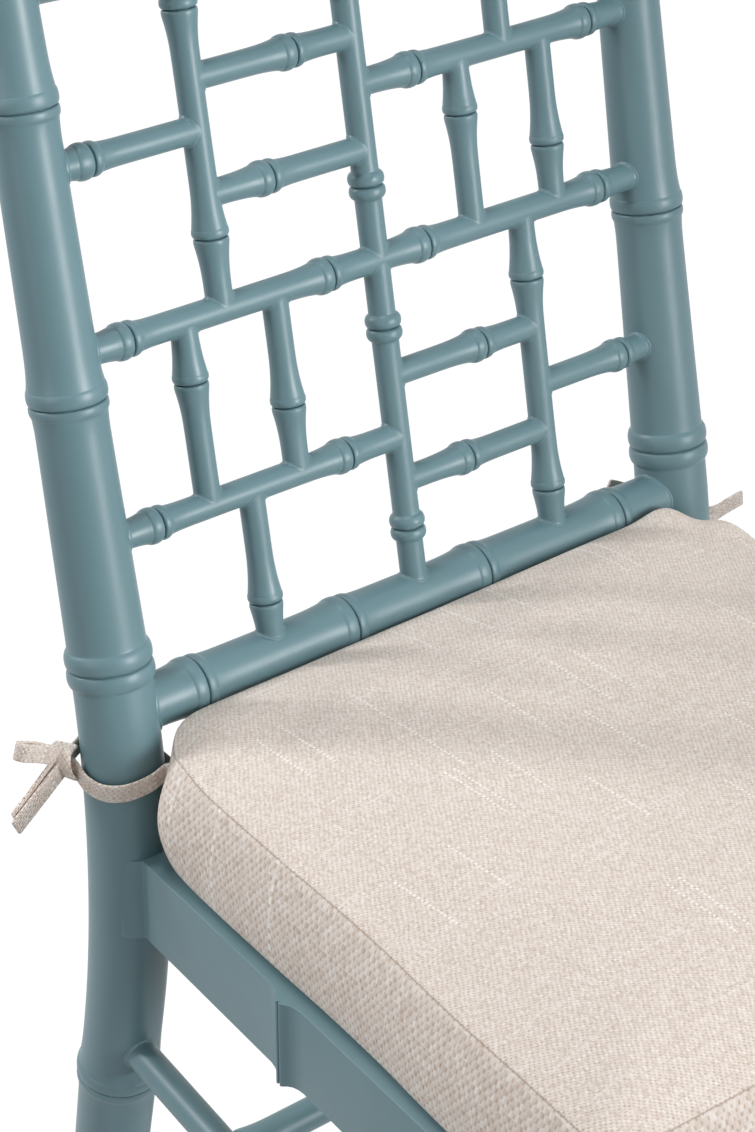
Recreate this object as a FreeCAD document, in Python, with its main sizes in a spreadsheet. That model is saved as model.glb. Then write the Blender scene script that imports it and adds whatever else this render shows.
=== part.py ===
import FreeCAD, Part
import math
import os
from types import SimpleNamespace

import Sketcher
from FreeCAD import Placement, Rotation, Vector

# Counter stool of turned wood made to look like bamboo and painted: two bent rear posts that carry
# a fretwork back, two turned front legs, a framed seat with a loose cushion, and turned stretchers.
# X runs to the right as seen from the front, Y to the back and Z up, in millimetres, from the point
# on the floor under the middle of the stool.

document = FreeCAD.newDocument("counter_stool")
sheet = document.addObject("Spreadsheet::Sheet", "dims")

# The driving dimensions, in millimetres and degrees.
DRIVING = (
    ("seat_height", 610, "floor to the top of the seat rails"),
    ("post_spacing", 400, "rear posts, axis to axis"),
    ("leg_spacing", 492, "front legs, axis to axis"),
    ("frame_depth", 404, "rear post axis to front leg axis, at the seat"),
    ("recline", 10.5, "lean of the back from upright"),
    ("rear_splay", 10.5, "backward lean of the rear legs"),
    ("bend_drop", 4, "corner of the posts' bend below the top of the rails"),
    ("bend_clear", 11, "start of the bend below the third ring of the post"),
    ("bend_down", 118, "end of the bend below its corner, along the leg"),
    ("post_horn", 26.5, "top of the post above the axis of the top rail"),
    ("post_top_diameter", 30.5, "rear post at its top"),
    ("post_ring_1", 130, "first ring of the post above the lattice centre"),
    ("post_ring_2", 19, "second ring of the post below the lattice centre"),
    ("post_ring_3", 161, "third ring of the post below the lattice centre"),
    ("post_diameter_1", 33.8, "rear post at the first ring"),
    ("post_diameter_2", 37.4, "rear post at the second ring"),
    ("post_diameter_3", 41.8, "rear post at the third ring"),
    ("post_seat_diameter", 44.5, "rear post in the bend at the seat"),
    ("leg_top_diameter", 43.5, "front leg at the seat"),
    ("leg_ring_1", 177, "top of the seat rails to the legs' upper ring"),
    ("leg_ring_2", 320, "top of the seat rails to the legs' middle ring"),
    ("leg_ring_3", 463, "top of the seat rails to the legs' lower ring"),
    ("leg_diameter_1", 42.9, "legs at the upper ring"),
    ("leg_diameter_2", 40.3, "legs at the middle ring"),
    ("leg_diameter_3", 37.6, "legs at the lower ring"),
    ("foot_diameter", 34, "legs at the floor"),
    ("crown", 4, "rounding of the posts' tops"),
    ("pole_flare", 25, "flare that leads into a ring on a post or thick rail"),
    ("pole_bead", 6, "width of a bead on a post or thick rail"),
    ("pole_rise", 2.1, "height of a bead on a post or thick rail"),
    ("pole_lip", 8, "fall behind a flared ring on a post or thick rail"),
    ("pole_double", 9.8, "width of each bead of a double ring on a post"),
    ("bar_flare", 19, "flare that leads into a ring on a lattice stick"),
    ("bar_bead", 6.4, "width of a bead on a lattice stick"),
    ("bar_rise", 2.2, "height of a bead on a lattice stick"),
    ("bar_lip", 7, "fall behind a flared ring on a lattice stick"),
    ("bar_double", 6.7, "width of each bead of a double ring on a lattice stick"),
    ("lattice_up", 270, "corner of the bend to the centre of the lattice"),
    ("lattice_forward", 3, "lattice in front of the post axes"),
    ("end_rail_forward", 0.8, "top and bottom rails in front of the post axes"),
    ("end_rail_rise", 190.5, "top and bottom rails from the lattice centre"),
    ("end_rail_diameter", 28.5, "top and bottom rails"),
    ("middle_rail_rise", 2.7, "middle rail above the lattice centre"),
    ("middle_rail_diameter", 15, "middle rail"),
    ("centre_stile_diameter", 14.8, "stiles on the centre line"),
    ("short_rail_rise", 96.7, "half-width rails from the lattice centre"),
    ("short_rail_diameter", 14.6, "half-width rails and side stiles"),
    ("side_stile_reach", 103, "side stiles from the centre line"),
    ("rung_diameter", 14.2, "rungs and spindles"),
    ("near_rung_rise", 62.6, "rungs next to the middle rail"),
    ("far_rung_rise", 122.8, "rungs next to the end rails"),
    ("post_rung_rise", 96.9, "rungs between a post and a stile"),
    ("near_spindle_reach", 68.7, "spindles next to the centre line"),
    ("far_spindle_reach", 127.5, "spindles next to the posts"),
    ("end_spindle_reach", 100.2, "spindles that reach the end rails"),
    ("bar_tenon_diameter", 7, "tenons of the lattice sticks"),
    ("end_tenon_diameter", 13, "tenons of the top and bottom rails"),
    ("bar_tenon_gap", 1.6, "tenon end to the axis of a lattice stick"),
    ("pole_tenon_gap", 7.5, "tenon end to the axis of a post or leg"),
    ("tenon_root", 6, "tenon's hold inside its own stick"),
    ("fit", 0.1, "clearance round a tenon"),
    ("end_fit", 0.4, "clearance at the end of a tenon"),
    ("stretcher_diameter", 18, "side stretchers"),
    ("rear_stretcher_diameter", 20, "rear stretcher"),
    ("foot_rail_diameter", 26, "foot rail between the front legs"),
    ("stretcher_tenon_diameter", 11, "tenons of the stretchers"),
    ("upper_stretcher_fall", 136, "top of the seat rails to the upper side stretchers, at the rear"),
    ("lower_stretcher_height", 196, "lower side stretchers at the rear legs, above the floor"),
    ("stretcher_drop", 24, "fall of the side stretchers to the front"),
    ("rear_stretcher_height", 323, "rear stretcher above the floor"),
    ("foot_rail_height", 222, "foot rail above the floor"),
    ("rail_height", 49, "seat rails"),
    ("rail_thickness", 24, "side and front rails"),
    ("rail_proud", 4.5, "rail's outer face outside the line of the leg axes"),
    ("rear_rail_thickness", 22, "rear rail"),
    ("rail_node", 166, "post axis to the carved node of a side rail"),
    ("rail_node_flare", 15, "half the length of a carved node"),
    ("rail_node_rise", 5.6, "height of a carved node"),
    ("rail_tenon_thickness", 10, "tenons of the seat rails"),
    ("rail_tenon_shoulder", 7, "shoulder above and below those tenons"),
    ("rail_tenon_offset", 4, "middle of those tenons inside the axis line"),
    ("panel_thickness", 12, "seat panel"),
    ("panel_gap", 0.5, "seat panel to the rails"),
    ("pole_gap", 1.5, "seat panel and blocks to the posts and legs"),
    ("block_leg", 62, "corner block along each rail"),
    ("block_height", 30, "corner blocks"),
    ("screw_diameter", 4.2, "shank of a wood screw"),
    ("screw_head_diameter", 8.2, "head of a wood screw"),
    ("screw_head_height", 2.6, "head of a wood screw"),
    ("screw_seat", 20, "head of a block screw from the rail"),
    ("screw_bite", 12, "block screw in the rail"),
    ("panel_bite", 9, "panel screw in the panel"),
    ("glide_diameter", 22, "foot glides"),
    ("glide_height", 5, "foot glides under the leg"),
    ("glide_pin_diameter", 5, "pin of a glide"),
    ("glide_pin_length", 14, "pin of a glide"),
    ("cushion_seam", 63, "upper seam of the box cushion above its base"),
    ("cushion_crown", 15.5, "swell of the cushion's top above its seam"),
    ("cushion_bow", 4.5, "swell of the cushion's sides between its seams"),
    ("cushion_inset", 10, "cushion inside the rails' outer faces"),
    ("cushion_overhang", 5, "cushion in front of the front rail"),
    ("cushion_rear", 12.2, "back of the cushion in front of the post axes"),
    ("cushion_post_gap", 5, "clipped corner of the cushion to the post"),
    ("cushion_corner", 26, "front corners of the cushion, in plan"),
    ("cushion_edge", 9, "easing of the cushion's clipped corners"),
    ("soft_gap", 0.3, "soft pieces to what they lie against"),
    ("tie_rise", 42, "ties round the posts, above the top of the seat rails"),
    ("tie_width", 11, "fabric tape of the ties"),
    ("tie_thickness", 2.5, "fabric tape of the ties"),
    ("knot_diameter", 16, "knot of a tie"),
    ("tail_length", 46, "free end of a tie"),
    ("bow_length", 24, "loop of a tie"),
)
for row, (alias, value, meaning) in enumerate(DRIVING, 1):
    sheet.set(f"A{row}", alias)
    sheet.set(f"B{row}", str(value))
    sheet.set(f"C{row}", meaning)
    sheet.setAlias(f"B{row}", alias)
document.recompute()


class Size:
    """A length together with the sheet expression that gives it."""

    def __init__(self, number, text=None):
        self.number = float(number)
        self.text = text or repr(float(number))
        self.bound = text is not None

    def __float__(self):
        return self.number

    def joined(self, sign, other, number):
        other = other if isinstance(other, Size) else Size(other)
        bound = self.bound or other.bound
        return Size(number, f"({self.text} {sign} {other.text})" if bound else None)

    def __add__(self, other):
        return self.joined("+", other, self.number + float(other))

    def __sub__(self, other):
        return self.joined("-", other, self.number - float(other))

    def __mul__(self, other):
        return self.joined("*", other, self.number * float(other))

    def __truediv__(self, other):
        return self.joined("/", other, self.number / float(other))

    def __neg__(self):
        return self * -1

    def root(self):
        return Size(math.sqrt(self.number), f"sqrt({self.text})")

    def at_most(self, other):
        return Size(min(self.number, other.number), f"min({self.text}; {other.text})")


dims = SimpleNamespace(**{alias: Size(getattr(sheet, alias), f"dims.{alias}") for alias, *_ in DRIVING})
ZERO = Size(0)
UP = Vector(0, 0, 1)
LEFT, RIGHT = -1, 1
SIDES = ((LEFT, "left"), (RIGHT, "right"))

# Finished pieces by name. Each keeps its solid, its reach from its own axis, how near to that axis
# a tenon may come, and what is still to be cut out of it.
pieces = {}


def keep(name, solid, reach=ZERO, stop=ZERO):
    pieces[name] = SimpleNamespace(solid=solid, reach=reach, stop=stop, cutters=[])


def bind(item, prop, length):
    setattr(item, prop, float(length))
    item.setExpression(prop, length.text)


def outline_sketch(body, name, role, corners):
    """A closed sketch of straight runs whose corners follow the sheet."""
    sketch = body.newObject("Sketcher::SketchObject", name)
    plane = next(feature for feature in body.Origin.OriginFeatures if feature.Role == role)
    sketch.AttachmentSupport = (plane, [""])
    sketch.MapMode = "FlatFace"
    points = [Vector(float(first), float(second), 0) for first, second in corners]
    count = len(points)
    sketch.addGeometry([Part.LineSegment(points[i], points[(i + 1) % count]) for i in range(count)])
    rules = [Sketcher.Constraint("Coincident", i, 2, (i + 1) % count, 1) for i in range(count)]
    driven = {}
    for i, corner in enumerate(corners):
        for kind, axis, length in zip(("DistanceX", "DistanceY"), (-2, -1), corner):
            if float(length) == 0:
                rules.append(Sketcher.Constraint("PointOnObject", i, 1, axis))
            else:
                driven[len(rules)] = length.text
                rules.append(Sketcher.Constraint(kind, -1, 1, i, 1, float(length)))
    sketch.addConstraint(rules)
    for index, text in driven.items():
        sketch.setExpression(f"Constraints[{index}]", text)
    return sketch


def turned(name, outline, placement):
    """A lathe turning from pairs of a distance along its axis, its own Z, and a radius."""
    body = document.addObject("PartDesign::Body", name)
    corners = [(radius, distance) for distance, radius in outline]
    sketch = outline_sketch(body, f"{name}_profile", "XZ_Plane", corners)
    turning = body.newObject("PartDesign::Revolution", f"{name}_turning")
    turning.Profile = sketch
    turning.ReferenceAxis = (sketch, ["V_Axis"])
    turning.Angle = 360
    body.Placement = placement
    return body


def board(name, corners, height, placement):
    """A flat piece from its plan outline and its height."""
    body = document.addObject("PartDesign::Body", name)
    sketch = outline_sketch(body, f"{name}_plan", "XY_Plane", corners)
    pad = body.newObject("PartDesign::Pad", f"{name}_pad")
    pad.Profile = sketch
    bind(pad, "Length", height)
    body.Placement = placement
    return body


def peg(name, radius, length, placement):
    cylinder = document.addObject("Part::Cylinder", name)
    bind(cylinder, "Radius", radius)
    bind(cylinder, "Height", length)
    cylinder.Placement = placement
    return cylinder


def block(name, length, width, height, placement):
    box = document.addObject("Part::Box", name)
    bind(box, "Length", length)
    bind(box, "Width", width)
    bind(box, "Height", height)
    box.Placement = placement
    return box


def cut(name, base, tool):
    result = document.addObject("Part::Cut", name)
    result.Base = base
    result.Tool = tool
    return result


def fuse(name, shapes):
    result = document.addObject("Part::MultiFuse", name)
    result.Shapes = shapes
    result.Refine = False
    return result


def group(name, members):
    result = document.addObject("Part::Compound", name)
    result.Links = members
    return result


def along(placement, distance):
    return placement * Placement(Vector(0, 0, float(distance)), Rotation())


# Bamboo rings. Each corner is given in shares of the flare, the bead and the lip along the axis, from
# the groove of the ring, and of the rise across it. The flare comes first, at the start of the stick.
FLARED = ((-1, -1, 0, 0), (-0.4, -1, 0, 0.3), (0, -1, 0, 0.75), (0, -0.6, 0, 1), (0, -0.2, 0, 0.85),
          (0, 0, 0, 0.25), (0, 0.2, 0, 0.75), (0, 0.5, 0, 0.8), (0, 0.8, 0, 0.45), (0, 0.8, 1, 0))
HALF_DOUBLE = ((1, 0), (0.9, 0.6), (0.55, 1.1), (0.2, 0.85))
DOUBLE = tuple((0, -width, 0, rise) for width, rise in HALF_DOUBLE) + ((0, 0, 0, 0.25),) + tuple(
    (0, width, 0, rise) for width, rise in reversed(HALF_DOUBLE))
POLE = SimpleNamespace(flare=dims.pole_flare, bead=dims.pole_bead, rise=dims.pole_rise, lip=dims.pole_lip,
                       double=dims.pole_double)
BAR = SimpleNamespace(flare=dims.bar_flare, bead=dims.bar_bead, rise=dims.bar_rise, lip=dims.bar_lip,
                      double=dims.bar_double)


def ring(kind, at, radius, cutter, room):
    """The corners of one ring. The flare is no longer than the room before its bead."""
    flare = cutter.flare.at_most(room - cutter.bead * 1.1)
    width = cutter.double if kind is DOUBLE else cutter.bead
    return [(at + flare * lead + width * bead + cutter.lip * lip, radius + cutter.rise * rise)
            for lead, bead, lip, rise in kind]


def along_axis(start, direction):
    return Placement(start, Rotation(UP, direction))


# Where the stool stands: the rear posts bend at the seat, and everything is placed from the axes of
# the posts and legs there.
recline = math.radians(float(dims.recline))
splay = math.radians(float(dims.rear_splay))
rising = Vector(0, math.sin(recline), math.cos(recline))
falling = Vector(0, math.sin(splay), -math.cos(splay))
bend_height = float(dims.seat_height - dims.bend_drop)
bend_up = dims.lattice_up - dims.post_ring_3 - dims.bend_clear
post_length = dims.lattice_up + dims.end_rail_rise + dims.post_horn


def bend_offset(share):
    """A point of the bend, from its corner, at a share of the way from its upper to its lower end."""
    return rising * float(bend_up) * (1 - share) ** 2 + falling * float(dims.bend_down) * share ** 2


def bend_slope(share):
    return (falling * float(dims.bend_down) * share - rising * float(bend_up) * (1 - share)).normalize()


def bend_share(height):
    """The share of the bend at which the post's axis is at a height above the floor."""
    high, low = 0.0, 1.0
    for _ in range(40):
        middle = (high + low) / 2
        if bend_offset(middle).z > height - bend_height:
            high = middle
        else:
            low = middle
    return high


seat_share = bend_share(float(dims.seat_height - dims.rail_height / 2))
seat_sag = bend_offset(seat_share).y
leg_radius = dims.leg_diameter_1 / 2
front_reach = float(dims.frame_depth + leg_radius + dims.pole_rise)
foot_run = (bend_height - float(dims.glide_height)) * math.tan(splay)
rear_reach = foot_run - seat_sag + float(dims.foot_diameter) / 2 / math.cos(splay)
seat_y = (front_reach - rear_reach) / 2
front_y = seat_y - float(dims.frame_depth)
bend_y = seat_y - seat_sag


def bend_corner(side):
    return Vector(side * float(dims.post_spacing) / 2, bend_y, bend_height)


def front_axis(side, height):
    return Vector(side * float(dims.leg_spacing) / 2, front_y, float(height))


def rear_axis(side, height):
    """The axis of a rear leg at a height below the bend."""
    run = (bend_height - float(height)) / math.cos(splay)
    return bend_corner(side) + falling * run


def down_leg(fall):
    """Distance along a rear leg from the end of its bend to a fall from the top of the seat rails."""
    return (fall - dims.bend_drop) / math.cos(splay) - dims.bend_down


# Rear posts: a straight turning above the seat, a bent stretch through the seat, and a straight
# turning below it that is sawn level at the floor.
BEND_STATIONS = 6
SEAM_TURN = 70
SAW_LENGTH = 90
for side, side_name in SIDES:
    name = f"rear_post_{side_name}"
    top = along_axis(bend_corner(side) + rising * float(post_length), -rising)
    upper_length = post_length - bend_up
    centre_down = dims.end_rail_rise + dims.post_horn
    top_radius = dims.post_top_diameter / 2
    bend_radius = dims.post_seat_diameter / 2
    upper = [(ZERO, ZERO), (ZERO, top_radius - dims.crown), (dims.crown * 0.3, top_radius - dims.crown * 0.3),
             (dims.crown, top_radius)]
    for kind, at, diameter in ((FLARED, centre_down - dims.post_ring_1, dims.post_diameter_1),
                               (FLARED, centre_down + dims.post_ring_2, dims.post_diameter_2),
                               (DOUBLE, centre_down + dims.post_ring_3, dims.post_diameter_3)):
        upper += ring(kind, at, diameter / 2, POLE, at - dims.crown)
    upper += [(upper_length, dims.post_diameter_3 / 2), (upper_length, ZERO)]
    upper_turning = turned(f"{name}_upper", upper, top)

    sections = []
    for station in range(BEND_STATIONS + 1):
        share = station / BEND_STATIONS
        section = document.addObject("Part::Circle", f"{name}_section_{station}")
        first, last = dims.post_diameter_3 / 2, dims.leg_diameter_1 / 2
        swell = 4 * share * (1 - share)
        straight = first * (1 - share) + last * share
        bind(section, "Radius", straight + (bend_radius - (first + last) / 2) * swell)
        section.Placement = along_axis(bend_corner(side) + bend_offset(share), bend_slope(share))
        section.Placement = section.Placement * Placement(Vector(), Rotation(UP, SEAM_TURN))
        sections.append(section)
    bend = document.addObject("Part::Loft", f"{name}_bend")
    bend.Sections = sections
    bend.Solid = True

    lower_end = down_leg(dims.seat_height)
    lower = [(ZERO, ZERO)]
    first_ring = down_leg(dims.leg_ring_1)
    lower += [(ZERO, leg_radius)] + ring(FLARED, first_ring, leg_radius, POLE, first_ring)
    for fall, diameter in ((dims.leg_ring_2, dims.leg_diameter_2), (dims.leg_ring_3, dims.leg_diameter_3)):
        lower += ring(FLARED, down_leg(fall), diameter / 2, POLE, down_leg(fall))
    lower += [(lower_end, dims.foot_diameter / 2), (lower_end, ZERO)]
    lower_start = bend_corner(side) + falling * float(dims.bend_down)
    lower_turning = turned(f"{name}_lower", lower, along_axis(lower_start, falling))
    saw_corner = rear_axis(side, ZERO) - Vector(1, 1, 1) * (SAW_LENGTH / 2)
    saw = block(f"{name}_saw", Size(SAW_LENGTH), Size(SAW_LENGTH), dims.glide_height + SAW_LENGTH / 2,
                Placement(saw_corner, Rotation()))
    whole = fuse(f"{name}_whole", [upper_turning, bend, lower_turning])
    keep(name, cut(f"{name}_sawn", whole, saw), bend_radius, dims.pole_tenon_gap)

# Front legs: upright turnings whose tops lie level with the seat rails.
for side, side_name in SIDES:
    name = f"front_leg_{side_name}"
    outline = [(ZERO, ZERO), (ZERO, dims.leg_top_diameter / 2)]
    for fall, diameter in ((dims.leg_ring_1, dims.leg_diameter_1), (dims.leg_ring_2, dims.leg_diameter_2),
                           (dims.leg_ring_3, dims.leg_diameter_3)):
        outline += ring(FLARED, fall, diameter / 2, POLE, fall)
    foot = dims.seat_height - dims.glide_height
    outline += [(foot, dims.foot_diameter / 2), (foot, ZERO)]
    leg = turned(f"{name}_turning", outline, along_axis(front_axis(side, dims.seat_height), -UP))
    keep(name, leg, dims.leg_top_diameter / 2, dims.pole_tenon_gap)


def stick(name, start, end, length, diameter, rings, cutter, tenon, mates):
    """A turned stick between the axes of two mates, scribed to both and tenoned into both."""
    frame = along_axis(start, (end - start).normalize())
    radius = diameter / 2
    outline = [(ZERO, ZERO), (ZERO, radius)]
    for kind, share in rings:
        outline += ring(kind, length * share, radius, cutter, length * share)
    outline += [(length, radius), (length, ZERO)]
    scribed = turned(f"{name}_turning", outline, frame)
    parts = []
    for end_name, mate in zip(("start", "end"), mates):
        scribed = cut(f"{name}_scribed_{end_name}", scribed, pieces[mate].solid)
        reach = pieces[mate].reach + dims.tenon_root
        near = pieces[mate].stop
        deep = near - dims.end_fit
        base, socket_base = (near, deep) if end_name == "start" else (length - reach, length - reach)
        parts.append(peg(f"{name}_tenon_{end_name}", tenon / 2, reach - near, along(frame, base)))
        pieces[mate].cutters.append(peg(f"{name}_socket_{end_name}", tenon / 2 + dims.fit, reach - deep,
                                        along(frame, socket_base)))
    keep(name, fuse(f"{name}_whole", [scribed] + parts), radius, dims.bar_tenon_gap)


# The lattice of the back lies in one plane. Its places are given across from the centre line and up
# the slope from the centre.
lattice_centre = bend_corner(0) + rising * float(dims.lattice_up)
facing = Vector(0, -math.cos(recline), math.sin(recline))


def lattice(across, up, forward=dims.lattice_forward):
    return lattice_centre + Vector(float(across), 0, 0) + rising * float(up) + facing * float(forward)


def across_stick(name, left, right, up, diameter, rings, mates):
    stick(name, lattice(left, up), lattice(right, up), right - left, diameter, rings, BAR,
          dims.bar_tenon_diameter, mates)


def upright_stick(name, across, top, bottom, diameter, rings, mates):
    stick(name, lattice(across, top), lattice(across, bottom), top - bottom, diameter, rings, BAR,
          dims.bar_tenon_diameter, mates)


half = dims.post_spacing / 2
posts = ("rear_post_left", "rear_post_right")
top, middle, bottom = dims.end_rail_rise, dims.middle_rail_rise, -dims.end_rail_rise
end_rings = ((FLARED, 0.12), (FLARED, 0.374), (FLARED, 0.612), (FLARED, 0.868))
middle_rings = ((FLARED, 0.0925), (FLARED, 0.415), (FLARED, 0.58), (FLARED, 0.897))
for name, up in (("top_rail", top), ("bottom_rail", bottom)):
    ends = [lattice(across, up, dims.end_rail_forward) for across in (-half, half)]
    stick(name, *ends, dims.post_spacing, dims.end_rail_diameter, end_rings, POLE,
          dims.end_tenon_diameter, posts)
across_stick("middle_rail", -half, half, middle, dims.middle_rail_diameter, middle_rings, posts)

centre = dims.centre_stile_diameter
upright_stick("upper_centre_stile", ZERO, top, middle, centre, ((DOUBLE, 0.216), (DOUBLE, 0.785)),
              ("top_rail", "middle_rail"))
upright_stick("lower_centre_stile", ZERO, middle, bottom, centre, ((DOUBLE, 0.195), (DOUBLE, 0.785)),
              ("middle_rail", "bottom_rail"))

short = dims.short_rail_diameter
stile = dims.side_stile_reach
across_stick("lower_left_rail", -half, ZERO, -dims.short_rail_rise, short, ((FLARED, 0.193), (FLARED, 0.815)),
             ("rear_post_left", "lower_centre_stile"))
across_stick("upper_right_rail", ZERO, half, dims.short_rail_rise, short, ((FLARED, 0.193), (FLARED, 0.804)),
             ("upper_centre_stile", "rear_post_right"))
upright_stick("left_stile", -stile, top, middle, short, ((FLARED, 0.17), (FLARED, 0.796)),
              ("top_rail", "middle_rail"))
upright_stick("right_stile", stile, middle, bottom, short, ((FLARED, 0.195), (FLARED, 0.833)),
              ("middle_rail", "bottom_rail"))

# Rungs: name, left end, right end, place up the slope, place of the ring, and what they join.
near, far, beside = dims.near_rung_rise, dims.far_rung_rise, dims.post_rung_rise
RUNGS = (
    ("upper_left_rung_near", -stile, ZERO, near, 0.38, ("left_stile", "upper_centre_stile")),
    ("upper_left_rung_far", -stile, ZERO, far, 0.617, ("left_stile", "upper_centre_stile")),
    ("upper_left_rung_post", -half, -stile, beside, 0.31, ("rear_post_left", "left_stile")),
    ("lower_right_rung_near", ZERO, stile, -near, 0.617, ("lower_centre_stile", "right_stile")),
    ("lower_right_rung_far", ZERO, stile, -far, 0.443, ("lower_centre_stile", "right_stile")),
    ("lower_right_rung_post", stile, half, -beside, 0.64, ("right_stile", "rear_post_right")),
)
for name, left, right, up, share, mates in RUNGS:
    across_stick(name, left, right, up, dims.rung_diameter, ((FLARED, share),), mates)

# Spindles: name, place across, upper end, lower end, place of the ring, and what they join.
low, high = -dims.short_rail_rise, dims.short_rail_rise
near, far, last = dims.near_spindle_reach, dims.far_spindle_reach, dims.end_spindle_reach
SPINDLES = (
    ("lower_left_spindle_far", -far, middle, low, 0.325, ("middle_rail", "lower_left_rail")),
    ("lower_left_spindle_near", -near, middle, low, 0.62, ("middle_rail", "lower_left_rail")),
    ("lower_left_spindle_end", -last, low, bottom, 0.67, ("lower_left_rail", "bottom_rail")),
    ("upper_right_spindle_near", near, high, middle, 0.327, ("upper_right_rail", "middle_rail")),
    ("upper_right_spindle_far", far, high, middle, 0.65, ("upper_right_rail", "middle_rail")),
    ("upper_right_spindle_end", last, top, high, 0.325, ("top_rail", "upper_right_rail")),
)
for name, across, upper_end, lower_end, share, mates in SPINDLES:
    upright_stick(name, across, upper_end, lower_end, dims.rung_diameter, ((FLARED, share),), mates)

# Stretchers: two at each side that fall to the front, one at the rear, and the foot rail in front.
STRETCHER_RING = ((FLARED, 0.55),)
FOOT_RAIL_RINGS = ((FLARED, 0.3), (FLARED, 0.74))
stretcher_tenon = dims.stretcher_tenon_diameter


def stretcher(name, start, end, diameter, rings, mates):
    length = Size((end - start).Length)
    stick(name, start, end, length, diameter, rings, POLE, stretcher_tenon, mates)


for side, side_name in SIDES:
    mates = (f"rear_post_{side_name}", f"front_leg_{side_name}")
    for level, height in (("upper", dims.seat_height - dims.upper_stretcher_fall),
                          ("lower", dims.lower_stretcher_height)):
        ends = (rear_axis(side, height), front_axis(side, height - dims.stretcher_drop))
        stretcher(f"{level}_stretcher_{side_name}", *ends, dims.stretcher_diameter, STRETCHER_RING, mates)
rear_ends = [rear_axis(side, dims.rear_stretcher_height) for side, _ in SIDES]
stretcher("rear_stretcher", *rear_ends, dims.rear_stretcher_diameter, FOOT_RAIL_RINGS, posts)
front_ends = [front_axis(side, dims.foot_rail_height) for side, _ in SIDES]
stretcher("front_foot_rail", *front_ends, dims.foot_rail_diameter, FOOT_RAIL_RINGS,
          ("front_leg_left", "front_leg_right"))

# Seat rails: boards on edge, scribed and tenoned into the posts and legs. The outer faces of the side
# and front rails carry a carved bamboo node, and a side rail ends in an ear that wraps the rear post.
CARVED = ((-1, 0), (-0.5, 0.22), (-0.13, 0.85), (-0.05, 1), (0, 0.75), (0.05, 0.97), (0.2, 0.72), (0.55, 0.2),
          (1, 0))
rail_inner = dims.rail_thickness - dims.rail_proud


def seat_rail(name, start, end, outward, length, outer_edge, inner, tenon_offset, mates):
    """A rail between two axes at the seat, from its outer edge in plan, drawn from its start to its end."""
    direction = (end - start).normalize()
    up = direction.cross(outward)
    base = dims.seat_height - dims.rail_height if up.z > 0 else dims.seat_height
    turn = Rotation(direction, outward, up, "XYZ")
    frame = Placement(Vector(start.x, start.y, float(base)), turn)
    corners = [(ZERO, -inner)] + outer_edge + [(length, -inner)]
    scribed = board(f"{name}_board", corners, dims.rail_height, frame)
    parts = []
    for end_name, mate in zip(("start", "end"), mates):
        scribed = cut(f"{name}_scribed_{end_name}", scribed, pieces[mate].solid)
        near = pieces[mate].stop
        reach = pieces[mate].reach + dims.tenon_root
        for kind, side_fit, deep, store in (("tenon", ZERO, near, parts),
                                            ("mortise", dims.fit, near - dims.end_fit, pieces[mate].cutters)):
            from_start = deep if end_name == "start" else length - reach
            width = dims.rail_tenon_thickness + side_fit * 2
            tall = dims.rail_height - dims.rail_tenon_shoulder * 2 + side_fit * 2
            corner = Vector(float(from_start), -float(tenon_offset + width / 2),
                            float(dims.rail_tenon_shoulder - side_fit))
            store.append(block(f"{name}_{kind}_{end_name}", reach - deep, width, tall,
                               frame * Placement(corner, Rotation())))
    keep(name, fuse(f"{name}_whole", [scribed] + parts))


def carved_edge(length, node, first):
    edge = [(node + dims.rail_node_flare * lead, dims.rail_proud + dims.rail_node_rise * rise)
            for lead, rise in CARVED]
    return first + edge + [(length, dims.rail_proud)]


taper = (dims.leg_spacing - dims.post_spacing) / 2 / dims.frame_depth
slant = (taper * taper + 1).root()
side_length = dims.frame_depth * slant
post_radius = dims.post_seat_diameter / 2
ear = [(ZERO, post_radius * 0.64), (post_radius * 0.77, post_radius * 0.64),
       (post_radius * 0.96, post_radius * 0.41), (post_radius + dims.rail_proud * 0.35, dims.rail_proud)]
for side, side_name in SIDES:
    start = Vector(side * float(half), seat_y, 0)
    end = front_axis(side, ZERO)
    outward = Vector(side, side * (end - start).x / (end - start).Length, 0).normalize()
    outward = outward - (end - start).normalize() * outward.dot((end - start).normalize())
    seat_rail(f"side_rail_{side_name}", start, end, outward.normalize(), side_length,
              carved_edge(side_length, dims.rail_node, ear), rail_inner, dims.rail_tenon_offset,
              (f"rear_post_{side_name}", f"front_leg_{side_name}"))
front_edge = carved_edge(dims.leg_spacing, dims.leg_spacing / 2, [(ZERO, dims.rail_proud)])
seat_rail("front_rail", front_axis(LEFT, ZERO), front_axis(RIGHT, ZERO), Vector(0, -1, 0), dims.leg_spacing,
          front_edge, rail_inner, dims.rail_tenon_offset, ("front_leg_left", "front_leg_right"))
rear_half = dims.rear_rail_thickness / 2
seat_rail("rear_rail", Vector(-float(half), seat_y, 0), Vector(float(half), seat_y, 0), Vector(0, 1, 0),
          dims.post_spacing, [(ZERO, rear_half), (dims.post_spacing, rear_half)], rear_half, ZERO, posts)


# Inside the seat frame, places are given across from the centre line and forward from the post axes.
def inner_width(forward, clear):
    """Half the room between the side rails, less a clearance to each."""
    return half + forward * taper - (rail_inner + clear) * slant


def seat_frame(height):
    return Placement(Vector(0, seat_y, float(height)), Rotation())


def pole_room(name, height, base):
    """The room that the posts and legs need inside the seat frame."""
    rooms = []
    for side, side_name in SIDES:
        rear = bend_corner(side) + bend_offset(bend_share(float(base + height / 2)))
        for place, axis, radius in (("rear", rear, post_radius), ("front", front_axis(side, ZERO),
                                                                  dims.leg_top_diameter / 2)):
            rooms.append(peg(f"{name}_room_{place}_{side_name}", radius + dims.pole_gap, height,
                             Placement(Vector(axis.x, axis.y, float(base)), Rotation())))
    return group(f"{name}_rooms", rooms)


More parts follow.
